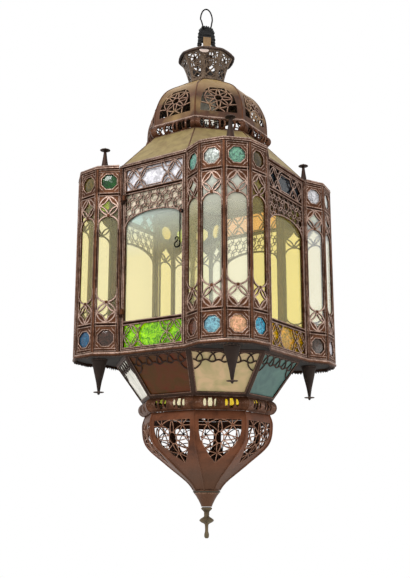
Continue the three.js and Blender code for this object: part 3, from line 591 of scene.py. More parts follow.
def facet_lattice(place, z, up):
    """One end of a tall opening: its round arch, the knot below, the lattice, the solid far corners and a
    thin edge up both sides."""
    arch = oval((0, z + up * (LEAF_H + 16.2)), LEAF_W + 1.2, 15.4, 0 if up < 0 else math.pi, math.pi)
    shells = [carried(path, RIB, place) for path in (*diamond_lattice(0, z, LEAF_W, LEAF_H, LEAF_SAG), arch)]
    knot = resampled(oval((0, z + up * (LEAF_H + 0.2)), 2.6, 2.6)[:-1], 12)
    shells.append(pane(knot, -1, 1.8, place, 0.5))
    for side in (-1, 1):
        curve = bowed((side * LEAF_W, z), (0, z - up * LEAF_H), LEAF_SAG * side * up)
        edge_x, far = side * PLATE_HALF, z - up * (LEAF_H + 2)
        along = np.linspace(0, 2, len(curve))
        edge = [np.interp(along, [0, 1, 2], bend) for bend in ([edge_x, edge_x, 0], [z, far, far])]
        shells.append(sheet_patch(curve, np.stack(edge, 1), -1.0, 0.5, place))
        x = side * (PLATE_HALF - 0.6)
        shells.append(carried([(x, z - up * LEAF_H), (x, z + up * 40)], THIN_RIB, place))
    return shells


def octagon(radius, z):
    return oval((0, z), radius, radius, EIGHTH / 2, 2 * math.pi, 9)[:-1]


def bezel(place, z):
    """A square plate with an eight-sided hole, a raised ring round it and hatched corners."""
    plate = box_outline(PLATE_HALF, z - PLATE_RISE, z + PLATE_RISE)
    lines = [resampled(line, 32) for line in (plate, octagon(JEWEL_HOLE, z))]
    lines = [line[np.argsort(np.arctan2(line[:, 1] - z, line[:, 0]))] for line in lines]
    shells = [sheet_ring(*lines, -1.0, 0.4, place, 2),
              carried(octagon(JEWEL_HOLE + 0.2, z), bar_section(1.8, -1.2, 1.5, 0.6), place, closed=True)]
    for sx, sz in ((1, 1), (-1, 1), (-1, -1), (1, -1)):
        for reach in (0.0, 2.2, 4.4):
            far, near = 16.6 - reach, 9.0 + 0.6 * reach
            line = [(sx * far, z + sz * near), (sx * near, z + sz * far)]
            shells.append(carried(line, bar_section(0.9, 0, 1.0, 0.3), place))
    return shells


def facet_metal(place):
    """One turret facet: two bezels, the two lattices of the tall opening and the rails between them."""
    shells = []
    for up, end in ((1, 0), (-1, GLAZED)):
        shells += bezel(place, end + up * JEWEL_ROW / 2) + facet_lattice(place, end + up * LATTICE_Z, up)
        for z, section in ((EDGE_RAIL, NARROW_RAIL), (JEWEL_ROW, WIDE_RAIL)):
            shells.append(carried([(x, end + up * z) for x in (-PLATE_HALF, PLATE_HALF)], section, place))
    return shells


def corner_post(angle, flat_side):
    """A folded strip over a turret corner: on each facet a bead, a groove and the flat of the fold. Where it
    meets a flat side of the body, that half is narrower and lies along the flat."""
    out = np.array([math.sin(angle), -math.cos(angle)])
    across = np.array([math.cos(angle), math.sin(angle)])
    corner = np.array([0, -APOTHEM]) + TURRET_R * out
    c, s = math.cos(FACET_TURN / 2), math.sin(FACET_TURN / 2)
    halves = []
    for side in (-1, 1):
        along, away, half = across * side * c - out * s, out * c + across * side * s, POST_HALF
        if side == flat_side:
            along, away = [np.array([side, rise]) * math.sin(EIGHTH) for rise in (1, -1)]
            half = POST_HALF * [0.66, 1, 1]
        line = np.column_stack([corner + half[:, :1] * along + half[:, 1:2] * away, half[:, 2]])
        halves.append(line[::-side])
    outer = np.concatenate(halves)
    inner = corner - out * 1.6 + (outer[:, :2] - corner) * 0.94
    ring = np.concatenate([outer[:, :2], inner[::-1]])
    shade = np.concatenate([outer[:, 2], np.full(len(inner), 0.2)])
    return capped(grid(np.stack([lifted(ring, z) for z in (0.3, GLAZED - 0.3)]), shade, COLUMNS), len(ring))


def turret_frame(turn):
    """Five facets, a post over each corner, and an angle strip that stops the light at both far corners."""
    shells = [shell for place in FACET_PLACES for shell in facet_metal(place)]
    for i in range(FACETS + 1):
        shells.append(corner_post(i * FACET_TURN - math.pi / 2, (i == FACETS) - (i == 0)))
    for side in (-1, 1):
        for near, far, low, high in CORNER_STOPS:
            edges = [np.array([[side * x, 0.5], [side * x, GLAZED - 0.5]]) for x in (near, far)]
            shells.append(sheet_patch(*edges, low, high, upright_place((0, 0), side * EIGHTH, APOTHEM)))
    return turned_shells(shells, turn)


# From left to right: the top jewels, the tall panes and the low jewels of each turret
CREAM = "#fffcf0"
LEMON = "#fdf6d2"
TURRETS = {
    "front": (["#7db8a8", "#dfe8e0", "#86bfa6", "#5a4a18", "#8a7a2a"],
              ["#efe8b8", "#f8f9e4", "#fbf8de", "#f6e698", "#f6e698"],
              ["#6b4636", "#8cc4d8", "#e6b488", "#3c9cc0", "#b8c4c0"]),
    "right": (["#f2f0f4", "#e6eae6", "#d8e4ea", "#b7c46a", "#c8f040"],
              ["#fffffc", "#fffffc", LEMON, LEMON, CREAM],
              ["#5c4a3c", "#dcd8e0", "#6e5560", "#b0824a", "#4f8a5a"]),
    "back": (["#f5dc7c", "#f6e690", "#d6e672", "#f7df7e", "#a9c66a"],
             [CREAM, LEMON, CREAM, LEMON, CREAM],
             ["#2f7f96", "#d9a066", "#6aa26a", "#7fb0c8", "#8a4a3a"]),
    "left": (["#c4ee3e", "#c9b060", "#9ac85a", "#7a6a2c", "#145c1f"],
             [CREAM, CREAM, LEMON, "#fcf1b8", "#fcf4c6"],
             ["#c98a52", "#74a6b8", "#4a8a70", "#2d6590", "#5f4334"]),
}
# How many tall panes, from the left, carry a painted reflection that pales their upper part
PANES_WITH_REFLECTION = {"front": 3, "right": 2}


def turret_glass(turn):
    """The five tall panes of a turret, and its two rows of jewels with swelling faces."""
    tall = box_outline(17.6, JEWEL_ROW, GLAZED - JEWEL_ROW)
    panes = [pane(tall, -3.4, -1.5, place) for place in FACET_PLACES]
    jewels = [pane(resampled(octagon(JEWEL_HOLE + 0.4, z), 24), -3.2, -1.4, place, 1.6, 5)
              for z in (GLAZED - JEWEL_ROW / 2, JEWEL_ROW / 2) for place in FACET_PLACES]
    return turned_shells(panes, turn), turned_shells(jewels, turn)


def turret_plan(lip):
    """Corners of the front turret in plan, let out by a lip."""
    angle = np.arange(FACETS + 1) * FACET_TURN - math.pi / 2
    r = TURRET_R + lip
    return np.stack([r * np.sin(angle), -APOTHEM - r * np.cos(angle)], 1)


def plan_outline(lip):
    """Corners of the plan, turrets and flats, let out by a lip."""
    front = lifted(turret_plan(lip), 0)
    return np.concatenate([turn_about_z(front, i * 2 * EIGHTH) for i in range(4)])[:, :2]


def cap_shells(turn):
    """A turret's lid: a moulded rim round the five facets and a top that rises a little to its middle."""
    profile = [(-0.8, 0), (1.6, 0.3), (3.0, 1.2), (3.0, 2.4), (2.0, 3.2), (2.6, 4.2), (2.6, 5.4), (1.0, 6.6),
               (-3.0, 7.2), (-8.0, 7.4)]
    shade = [0.1, 0.1, 0.5, 1, 0.9, 0.1, 0.9, 1, 0.6, 0.4, 0.4, 0.4]
    rows = []
    for lip, z in profile:
        row, reach = turret_plan(lip), (TURRET_R + lip) / 2
        row[[0, -1], 1] = back = -APOTHEM - LID_BACK
        rows.append(lifted(np.vstack([row, [(reach, back), (0, back), (-reach, back)]]), GLAZED + z))
    below, top = [np.broadcast_to([0, -APOTHEM - LID_MIDDLE, GLAZED + z], rows[0].shape)
                  for z in (0, LID_RISE)]
    return turned_shells([weld(grid(np.stack([below, *rows, top]), by_row(shade), COLUMNS))], turn)


# How much painted shade, or wear with a painted highlight, a spike gets at each step of its profile, and
# which step is its neck
SPIKE_SHADING = [0.3, 0.4, 0.9, 0.8, 0.3, 0.5, 0.5, 0.4, 0.2, 0.5, 0.9, 1, 0.8, 0.3, 0.7, 0.9]
NECK = 8


def spike(side, turn, word, node, level, height, sign, widths, cone_metal):
    """A turned cone, a thin neck, a flat disc and a short point, standing up or hanging by the sign."""
    disc = height - 5
    foot, low, middle = widths
    pairs = [(0, 0), (foot, 0), (foot, 1.2), (foot - 0.5, 2.4), (foot, 3.2), (foot - 1.5, 6),
             (low, height * 0.35), (middle, height * 0.64), (2.2, disc - 1.2), (3.0, disc - 0.6),
             (8.6, disc - 0.1), (8.8, disc + 0.5), (8.2, disc + 1.0), (2.6, disc + 1.6), (1.6, height - 1),
             (0, height)]
    line = [(r, level + sign * z) for r, z in pairs]
    axis = (0, line[NECK][1])
    for part, profile, shading_and_wear, material in (
            ("cone", [*line[:NECK + 1], axis], [*SPIKE_SHADING[:NECK + 1], 0.2], cone_metal),
            ("disc", [axis, *line[NECK:]], [0.2, *SPIKE_SHADING[NECK:]], IRON)):
        shell = spun(profile, 32, shading_and_wear, (0, -SPIKE_OUT))
        piece(f"{side}_{word}_{part}", turned_shells([shell], turn), material, f"{node}_{side}")


for i, (side, (top_jewels, tall_panes, low_jewels)) in enumerate(TURRETS.items()):
    turn = i * 2 * EIGHTH
    piece(f"{side}_turret_metal", turret_frame(turn), COPPER, f"turret_frame_{side}")
    panes, jewels = turret_glass(turn)
    reflected_panes = PANES_WITH_REFLECTION.get(side, 0)
    glazing = [("panes", panes[reflected_panes:], PANE_GLASS, tall_panes[reflected_panes:]),
               ("jewels", jewels, TAPER_GLASS if side == "back" else JEWEL_GLASS, top_jewels + low_jewels)]
    if reflected_panes:
        glazing.insert(0, ("reflection_veiled_panes", panes[:reflected_panes], REFLECTION_VEILED_GLASS, tall_panes[:reflected_panes]))
    for word, shells, material, tints in glazing:
        piece(f"{side}_turret_{word}", shells, material, f"turret_glass_{side}", tints=tints)
    piece(f"{side}_turret_lid", cap_shells(turn), COPPER, f"turret_cap_{side}")
    spike(side, turn, "finial", "turret_finial", GLAZED + 8.3, 53, 1, (10.4, 6.0, 3.7), TAPER_METAL)
    spike(side, turn, "pendant", "pendant", -3.3, 58, -1, (13.2, 8.6, 4.6), IRON)

# Flat sides and door
CAME = 5.2
INNER_HALF = SIDE_HALF - CAME
ARCH_SPRING = 203.0
ARCH_RISE = 21.0
HINGE_EYES = (58, 247)
STUD_X, STUD_Z = SIDE_HALF - 5.5, 210
GLASS_DEPTH = (-6.2, -4.4)
LATCH_EYE, LATCH_LENGTH = 2.9, 58
SIDE_RIB = bar_section(1.7, -2.6, -0.5, 0.4)


def arch_height(x):
    """The window's arch over the spring line: its rise times the root of 1 - (x / half width)^2."""
    return ARCH_SPRING + ARCH_RISE * np.sqrt(1 - np.clip(np.abs(x) / INNER_HALF, 0, 1)**2)


def arch_line():
    x = INNER_HALF * np.sin(np.linspace(-math.pi / 2, math.pi / 2, 61))
    return np.stack([x, arch_height(x) + 0.8], 1)


def band_metal(place, bottom, top, section):
    """Ornament of a narrow band: a diamond lattice at both ends and arcs towards the window between them."""
    z, h = (bottom + top) / 2, (top - bottom) / 2
    paths = []
    for side in (-1, 1):
        paths += diamond_lattice(side * 41, z, 13.6, h, 2.8)
        for up in (-1, 1):
            paths.append(bowed((side * 27, z), (side * 15, z + up * h), -3.0 * up))
            paths.append(bowed((side * 20, z + up * h), (side * 36, z + up * (h - 1)), 7.0 * side * up))

    def inside(x, y):
        return (np.abs(x) < INNER_HALF + 0.5) & (np.abs(y - z) < h + 0.5)

    return fretwork(paths, inside, section, place)


def spandrel_metal(place):
    """Lace over the arch: rings a pitch apart that cut each other, a six-sided window in the middle,
    and a raised edge along the arch."""
    top, pitch, r, window_z = GLAZED - BAND - RAIL, 16.4, 10.8, GLAZED - BAND - RAIL - 15
    paths = [oval(((column + (row % 2) * 0.5) * pitch, top - 3 - row * pitch * 0.866), r, r, steps=37)
             for row in range(-1, 6) for column in range(-5, 6)]

    def inside(x, z):
        window = np.hypot(x, z - window_z) > 8.4
        return (np.abs(x) < INNER_HALF + 0.5) & (z < top + 0.5) & (z > arch_height(x)) & window

    hexagon = oval((0, window_z), 8.6, 8.6, 0, 2 * math.pi, 7)[:-1]
    return [*fretwork(paths, inside, bar_section(1.15, -2.6, -0.6, 0.3), place),
            carried(resampled(hexagon, 24), SIDE_RIB, place, closed=True),
            carried(arch_line(), bar_section(2.2, -2.8, -0.6, 0.6), place)]


def side_metal(place):
    """A flat side: the outer came, the rails with their grooves, the two bands with a pointed window in the
    upper one, the spandrel, and the stops that hold the glass from behind."""
    lines = [box_outline(SIDE_HALF - inset, 0.4 + inset, GLAZED - 0.4 - inset)
             for inset in (0, 2.8, CAME, 1.1, 4.1)]
    shells = [sheet_ring(lines[0], lines[1], -3.9, -0.9, place, shading_and_wear=0.05),
              sheet_ring(lines[1], lines[2], -3.9, -1.6, place, shading_and_wear=0.05)]
    shells += [carried(line, bar_section(1.7, -2.0, -0.05, 0.5), place, mitred=True) for line in lines[3:]]
    rails = [BAND, GLAZED - BAND]
    shells += [carried([(-INNER_HALF - 1, z), (INNER_HALF + 1, z)], bead_section(7.4, -3.6, -0.1), place)
               for z in rails]
    shells += band_metal(place, CAME + 0.4, BAND - RAIL, bar_section(1.2, -2.6, -0.9, 0.3))
    shells += band_metal(place, GLAZED - BAND + RAIL, GLAZED - CAME - 0.4, SIDE_RIB)
    z = GLAZED - (BAND + 4.4) / 2
    right = np.vstack([bowed((16, z - 14), (27, z), -1.5, 5), bowed((27, z), (16, z + 14), -1.5, 5)[1:]])
    shells.append(carried(np.vstack([right, (right * [-1, 1])[::-1]]), SIDE_RIB, place, closed=True))
    shells += spandrel_metal(place)
    outer_stop, stop = [bar_section(width, -7.1, -6.3, 0.3) * [1, 1, 0.3] for width in (3.2, 2.4)]
    shells.append(carried(box_outline(57, 3.8, GLAZED - 3.8), outer_stop, place, mitred=True))
    stop_lines = [*[[(-55.4, z), (55.4, z)] for z in rails], arch_line()]
    shells += [carried(line, stop, place) for line in stop_lines]
    return shells


def side_glass(place):
    """The wide pane up to the arch, the glass behind the lace, and the glass of the two bands."""
    half = SIDE_HALF - 2
    across = INNER_HALF * np.sin(np.linspace(-1.57, 1.57, 41))
    x = np.unique(np.concatenate([np.linspace(-half, half, 3), across]))
    arch = np.stack([x, arch_height(x) + 1], 1)
    return [pane(np.vstack([[-half, BAND], [half, BAND], arch[::-1]]), *GLASS_DEPTH, place),
            sheet_patch(arch, np.stack([x, np.full(len(x), GLAZED - BAND)], 1), *GLASS_DEPTH, place, 1),
            *[pane(box_outline(half, low, high), *GLASS_DEPTH, place)
              for low, high in ((2, BAND - 0.4), (GLAZED - BAND + 0.4, GLAZED - 2))]]


# Each flat: eighths of a turn, and colour and glass of its wide pane, lace, low band and high band
FLATS = {
    "front_right": (1, ("#fcec98", PANE_GLASS), ("#a58a62", TAPER_GLASS), ("#dcae00", HAMMERED_GLASS),
                    ("#26333d", HAMMERED_GLASS)),
    "back_right": (3, (CREAM, PANE_GLASS), (CREAM, PANE_GLASS), ("#3f7f95", TAPER_GLASS),
                   ("#ffc79a", TAPER_GLASS)),
    "back_left": (5, (CREAM, PANE_GLASS), ("#fbf6e4", PANE_GLASS), ("#b5651d", TAPER_GLASS),
                  ("#c2e6f0", TAPER_GLASS)),
    "door": (7, ("#fbf2c2", DOOR_GLASS), ("#f8ead0", LACE_GLASS), ("#8ed80c", HAMMERED_GLASS),
             ("#f6f4fa", FROSTED_GLASS)),
}
for side, (eighths, *glazing) in FLATS.items():
    place = upright_place((0, 0), eighths * EIGHTH, APOTHEM)
    shells = side_metal(place)
    metal_node, glass_node, body = f"side_frame_{side}", f"side_glass_{side}", "lantern"
    if side == "door":
        metal_node, glass_node, body = "door_frame", "door_glass", "door"
        for z in HINGE_EYES:
            eye = [(2.0, 0.3), (2.0, 9), (2.6, 9), (3.2, 8.4), (3.2, 0.9), (2.6, 0.3), (2.0, 0.3)]
            eye = spun([(r, z + rise) for r, rise in eye], 24, 0.6, (3.5 - SIDE_HALF, -APOTHEM - 2.3))
            shells += turned_shells([eye], eighths * EIGHTH)
        shells.append(pane(oval((STUD_X, STUD_Z), 1.4, 1.4, steps=17)[:-1], -1.5, 3.3, place, 0.3))
    piece(f"{side}_metal", shells, COPPER, metal_node, body=body)
    words = ("pane", "lace_pane", "low_band", "high_band")
    for word, shell, (tint, material) in zip(words, side_glass(place), glazing):
        piece(f"{side}_{word}", [shell], material, glass_node, body, [tint])


def latch_path():
    """The latch from its scrolled foot up its shank and round the eye, from the stud's middle."""
    shank, length = LATCH_EYE / math.sqrt(2), LATCH_LENGTH
    scroll = [(-8.6, 7.2), (-8, 10.2), (-5.4, 11.4), (-3.2, 9.2), (-4.4, 6), (-7.8, 3.4), (-10, 0),
              (-8.8, -3.6), (-5, -5), (-1.4, -3.6), (0, 0)]
    foot = smooth_curve(scroll, 60) + [-shank, 6.1 - length]
    eye = oval((0, 0), LATCH_EYE, LATCH_EYE, math.pi + EIGHTH, -1.6 * math.pi)
    return np.vstack([foot, [(-shank, -length * 2 / 3), (-LATCH_EYE / 2 - 0.4, -length / 3)], eye])


latch = latch_path()
door_place = upright_place((0, 0), 7 * EIGHTH, APOTHEM)
door_out = np.array([math.sin(7 * EIGHTH), -math.cos(7 * EIGHTH), 0])
latch_line = door_place(STUD_X + latch[:, 0], STUD_Z + latch[:, 1], 1.4)
piece("latch_hook", [tube(latch_line, 1.05, door_out, 12)], WIRE, "door_latch", "latch")


# Tray
TRAY_HOLE = 150.0
# Lip and height of the rim's section
TRAY_RIM = [(-1.4, -3.4), (-1.0, -0.1), (0.8, -0.1), (1.9, -0.6), (2.7, -1.6), (3.0, -2.9), (2.8, -4.2),
            (2.1, -5.4), (1.0, -6.2), (-0.4, -6.3), (-1.2, -5.4)]


def toothed_skirt(lip, bottom, top, pitch, depth):
    """A strip round the plan with a torn lower edge: a triangle wave along it plus a seeded share of it."""
    outline, inner = plan_outline(lip), plan_outline(lip - 1.2)
    shells = []
    for i in range(len(outline)):
        j = (i + 1) % len(outline)
        teeth = max(2, int(round(np.hypot(*(outline[j] - outline[i])) / pitch)))
        t = np.linspace(0, 1, 2 * teeth + 1)[:, None]
        wave = np.where(np.arange(2 * teeth + 1) % 2 == 0, bottom + depth, bottom)
        wave = wave + rng.uniform(0, depth * 0.8, len(wave))
        front, back = [np.stack([lifted(line[i] * (1 - t) + line[j] * t, z) for z in (top, wave)])
                       for line in (outline, inner)]
        shells.append(sheet(front, back, by_row([0.3, 0.9, 0.3, 0.1])))
    return shells


def tray_floor(low, high):
    """A sheet from the plan outline in to an eight-sided hole, whose reach is its side's distance over the
    cosine of the angle to that side's middle."""
    outline = resampled(plan_outline(0.6), 192)
    angle = np.arctan2(outline[:, 1], outline[:, 0])
    reach = TRAY_HOLE * FLAT / np.cos((angle + EIGHTH / 2) % EIGHTH - EIGHTH / 2)
    hole = np.stack([reach * np.cos(angle), reach * np.sin(angle)], 1)
    rows = [lifted(line, z) for line, z in ((outline, high), (hole, high), (hole, low), (outline, low))]
    return grid(np.stack(rows), 0.35, BOTH)


rim = grid(np.stack([lifted(plan_outline(lip), z) for lip, z in TRAY_RIM]),
           by_row([0.1, 0.2, 0.6, 1, 1, 0.9, 0.6, 0.3, 0.1, 0, 0]), BOTH)
piece("tray_moulding", [rim], COPPER, "base_tray")
piece("tray_skirt", toothed_skirt(lip=0.4, bottom=-9.9, top=-5.8, pitch=5.2, depth=2.4), IRON, "base_tray")
# The tray's floor is seen from below: its near-black colour is painted shade.
piece("tray_floor", [tray_floor(-2.9, -0.2)], SHADED_UNDERSIDE, "base_tray")

# Eaves and roof: lip and height of the eaves' section, and foot and top of the roof's slope
EAVES = [(-19, 0.1), (1.6, 0.1), (3.4, 0.5), (3.9, 1.3), (3.2, 2.0), (2.4, 2.3), (3.2, 2.8), (2.8, 3.7),
         (0, 3.9), (-19, 3.9)]
ROOF_LINE = (170.0, ROOF_FOOT), (SEAT_R, ROOF_TOP)
piece("eaves_moulding", [eight_sided([((APOTHEM + lip) / FLAT, GLAZED + z) for lip, z in EAVES],
                                     [0.1, 0.4, 0.9, 1, 0.6, 0, 0.9, 0.8, 0.5, 0.2])], COPPER, "eaves_ring")


def roof_side(turn):
    """One roof side: a sheet whose face wavers by half a millimetre, as hammered tin does: a wave across
    times a wave along it, plus a slanting wave, all from seeded starts and none at its edges."""
    place = gore_place(np.linspace(*ROOF_LINE, 20), turn)
    s = np.linspace(0, place.length, 25)[:, None]
    share = np.linspace(-1, 1, 31)
    x = place.half_width(s) * share
    phase = rng.uniform(0, 6, 4)
    dent = 0.28 * np.sin(x / 19 + phase[0]) * np.sin(s / 13 + phase[1])
    dent += 0.22 * np.sin(x / 11 + s / 17 + phase[2])
    dent *= (1 - share**4) * np.sin(np.linspace(0, math.pi, 25))[:, None] ** 0.5
    return sheet(place(x, s, dent - 0.3), place(x * 0.985, s, -1.4), 0.4 + 0.5 * np.abs(share) ** 12)


def corner_tubes(profile, radius, lift=0.0, lean=None, sides=8):
    """A round bead over each corner of an octagon, along a profile of corner radius and height."""
    shells = []
    for c, s in zip(np.cos(CORNERS), np.sin(CORNERS)):
        r = profile[:, 0] + lift
        out = (-s, c, 0) if lean is None else (c, s, lean)
        shells.append(tube(np.stack([r * c, r * s, profile[:, 1]], 1), radius, out, sides))
    return shells


piece("roof_sheets", [roof_side(i * EIGHTH) for i in range(8)], ROOF_TIN, "roof")
foot_bead = eight_sided([(r, ROOF_FOOT + z) for r, z in
                         ((169.4, 0.2), (169.9, 1.4), (168.4, 2.8), (166, 2.6), (166, 0.2))],
                        [0.3, 1, 0.9, 0.2, 0.1])
piece("roof_seams", [*corner_tubes(np.linspace(*ROOF_LINE, 8), 1.25, -1.3, 0.6), foot_bead], COPPER, "roof")


# Slotted rolls
def slot_half(x, slots):
    """Half height of the slots at x, as a share of the roll. With u from -1 to 1 across a slot, a leaf bows
    out as 0.72 sqrt(1 - u^2) and a waist bows in as 0.9 + 0.1 u^2."""
    height = np.zeros_like(x)
    for centre, width, kind in slots:
        u = np.abs(x - centre) / (width / 2)
        leaf, waist = 0.72 * np.sqrt(np.clip(1 - u**2, 0, 1)), np.where(u < 1, 0.9 + 0.1 * u**2, 0)
        height = np.maximum(height, leaf if kind == "leaf" else waist)
    return height


def roll_side(centre_z, radius, slots, share, turn):
    """One side of a half-round roll. Columns run across the side and are closer at the slots. The section
    is a half circle, and a slot's edges part from its middle line by its half height times the share."""
    edge = (ROLL_RING + 0.2) * FLAT
    marks = np.array([centre + width / 2 * u for centre, width, _ in slots for u in np.linspace(-1, 1, 9)])
    x_share = np.unique(np.concatenate([np.linspace(-1, 1, 13), marks / (edge * HALF_FLAT)]))
    x_share = x_share[np.abs(x_share) <= 1]
    t = np.linspace(0, 1, 10)[:, None]
    angle = slot_half(x_share * edge * HALF_FLAT, slots) * share * math.pi / 2 * (1 - t) + math.pi / 2 * t
    # The outer skin is painted lighter near the slots, and the inner skin is painted in shade.
    shading_and_wear = by_row(np.concatenate([np.linspace(0.75, 0.45, 10), np.full(10, 0.1)]))
    shells = []
    for sign in (1, -1):
        skins = []
        for r in (radius, radius - 1.3):
            reach = edge + r * np.cos(angle)
            z = centre_z + sign * r * np.sin(angle)
            skins.append(np.stack([x_share * reach * HALF_FLAT, -reach, z], -1))
        shells.append(grid(turn_about_z(np.concatenate([skins[0], skins[1][::-1]]), turn), shading_and_wear, ROWS))
    return shells


def roll(name, centre_z, radius, slots, share):
    """Eight half-round sides with slots, a round bead over each corner and a seat above and below."""
    shells = [shell for i in range(8) for shell in roll_side(centre_z, radius, slots, share, i * EIGHTH)]
    bend = np.linspace(-math.pi / 2, math.pi / 2, 13)
    reach = radius - 0.1
    profile = [ROLL_RING + reach * np.cos(bend) / FLAT, centre_z + reach * np.sin(bend)]
    shells += corner_tubes(np.stack(profile, 1), 0.9, sides=6)
    for sign in (-1, 1):
        low, high = centre_z + sign * radius, centre_z + sign * (radius - 1.4)
        seat = [(ROLL_RING - 1.5, low), (SEAT_R, low), (SEAT_R, high), (ROLL_RING - 1.5, high)]
        shells.append(eight_sided(seat, [0.3, 0.9, 0.4, 0.1]))
    piece(f"{name}_metal", shells, COPPER, name)


# Slots: the middle, width and kind of each
TRIO = ((-7.8, 4.4, "leaf"), (0, 6.4, "waist"), (7.8, 4.4, "leaf"))
TRIOS = [(c + x, width, kind) for c in (-15.6, 15.6) for x, width, kind in TRIO]
ROW = [((i - 3.5) * 8.0, 5.6, "waist" if i % 2 else "leaf") for i in range(8)]
roll("upper_roll", *UPPER_ROLL, ROW, share=0.8)
roll("lower_roll", *LOWER_ROLL, TRIOS, share=0.56)


# Dome, bulb and crown: eight curved gores each
def gore_outline(rows, half):
    """A closed outline on a gore: up its right side, across, down its left side and back along its foot."""
    side = np.stack([half, rows], 1)
    across = np.linspace(1, -1, 13)[1:-1]
    top, foot = [np.stack([way * half[end] * across, np.full(11, rows[end])], 1)
                 for way, end in ((1, -1), (-1, 0))]
    return np.vstack([side, top, (side * [-1, 1])[::-1], foot])


def rosette_paths(s0, ring, eye, fan):
    """An eight-pointed star: from between two points on the eye, ribs bow out to a knot on the ring. Past the
    ring, ribs fan out from each slanting knot and from the lowest one."""
    paths = [oval((0, s0), *ring, steps=73)]
    for k in range(8):
        a = k * EIGHTH
        knot = np.array([ring[0] * math.cos(a), s0 + ring[1] * math.sin(a)])
        for side in (-1, 1):
            b = a + side * EIGHTH / 2
            paths.append(bowed((eye[0] * math.cos(b), s0 + eye[1] * math.sin(b)), knot, side * -1.6, 13))
        if k % 2 or k == 6:
            for spread in fan:
                far = knot + 40 * np.array([math.cos(a + spread), math.sin(a + spread)])
                paths.append(bowed(knot, far, -6 * spread, 33))
    return paths


def gore_shells(profile, turn, opening, s0, ring, eye, fan, section):
    """A pierced gore: the sheet round its opening, the rosette in it, a raised line round its eye and a knot
    on each point of the star."""
    place = gore_place(profile, turn)
    rows = np.linspace(opening[0][0], opening[0][-1], 22)
    half = place.half_width(rows) * np.interp(rows, *opening)
    edge_rows = np.linspace(0.2, place.length - 0.2, 22)
    edge = gore_outline(edge_rows, place.half_width(edge_rows) - 0.3)

    def inside(x, s):
        off_eye = (x / eye[0]) ** 2 + ((s - s0) / eye[1]) ** 2 > 0.98
        return (np.abs(x) < np.interp(s, rows, half) + 0.4) & (s > rows[0]) & (s < rows[-1]) & off_eye

    shells = [sheet_ring(edge, gore_outline(rows, half), -1.5, 0, place, 7),
              *fretwork(rosette_paths(s0, ring, eye, fan), inside, section, place),
              carried(oval((0, s0), *eye, steps=33)[:-1], section, place, closed=True)]
    for knot in oval((0, s0), *ring, steps=9)[:-1]:
        if inside(*knot):
            shells.append(pane(oval(knot, 1.9, 1.9, steps=11)[:-1], -1.0, 0.8, place, 0.3, 2))
    return shells


# Shares of the foot's radius or the bulb's, and of the height
DOME_SHARES = [(1, 0), (0.97, 0.33), (0.8, 0.66), (0.47, 0.89)]
BULB_SHARES = [(1, 0.15), (0.935, 0.4), (0.64, 0.64), (0.31, 0.88)]
dome_points = [(SEAT_R * r, DOME_FOOT + (DOME_TOP - DOME_FOOT) * z) for r, z in DOME_SHARES]
dome_profile = smooth_curve([*dome_points, (DOME_TOP_R, DOME_TOP)], 60)
bulb_points = [(BULB_R * r, BULB_TOP - (BULB_TOP - BULB_FOOT) * z) for r, z in BULB_SHARES]
bulb_profile = smooth_curve([(ROLL_RING, BULB_TOP), *bulb_points, (BULB_FOOT_R, BULB_FOOT)], 60)[::-1]
# Each gore's opening, as lengths from its foot and how much of its width is open there. Then the height
# of its star, the half sizes of the star's ring and eye, the turns of the ribs that fan out, and a rib's
# section
DOME_ART = (([13, 30, 46, 56, 62, 66], [0.78, 0.76, 0.7, 0.6, 0.48, 0.34]), 40, (23.5, 20), (6.8, 6.4),
            (-0.7, 0.7), bar_section(2.1, -1.2, 0.6, 0.5))
BULB_ART = (([60, 66, 76, 92, 107, 122, 138], [0.03, 0.2, 0.4, 0.62, 0.77, 0.82, 0.82]), 109.5,
            (28, 28.5), (6.6, 9.6), (-0.6, 0, 0.6), bar_section(1.4, -1.2, 0.5, 0.4))
for name, profile, art, material, slot in (("dome", dome_profile, DOME_ART, DOME_TIN, "tan_sheet"),
                                           ("bulb", bulb_profile, BULB_ART, RED_COPPER, "red_copper")):
    shells = [shell for i in range(8) for shell in gore_shells(profile, i * EIGHTH, *art)]
    piece(f"{name}_gores", shells, material, name)
dome_top = spun([(0, DOME_TOP - 2), (29, DOME_TOP - 2), (29, DOME_TOP - 0.1), (0, DOME_TOP - 0.1)], 8)
dome_bead = eight_sided([(SEAT_R + lip, DOME_FOOT + z) for lip, z in
                         ((-2, 0.1), (0.6, 0.2), (1.0, 1.6), (0.5, 2.8), (-2, 2.8))], [0.2, 0.9, 1, 0.9, 0.2])
piece("dome_seams", [*corner_tubes(dome_profile, 1.2, -0.5), dome_top, dome_bead], COPPER, "dome")
piece("bulb_seams", corner_tubes(bulb_profile, 1.5, -0.3), RED_COPPER, "bulb")

crown_foot = DOME_TOP_R - 0.3
# Shares of the crown's flare and of its height
CROWN_SHARES = [(0, 0), (1 / 9, 13 / 52), (1 / 2, 34.7 / 52), (1, 1)]
flare, rise = CROWN_RIM - crown_foot, CROWN_TOP - CROWN_FOOT
crown_profile = smooth_curve([(crown_foot + flare * r, CROWN_FOOT + rise * z) for r, z in CROWN_SHARES], 30)


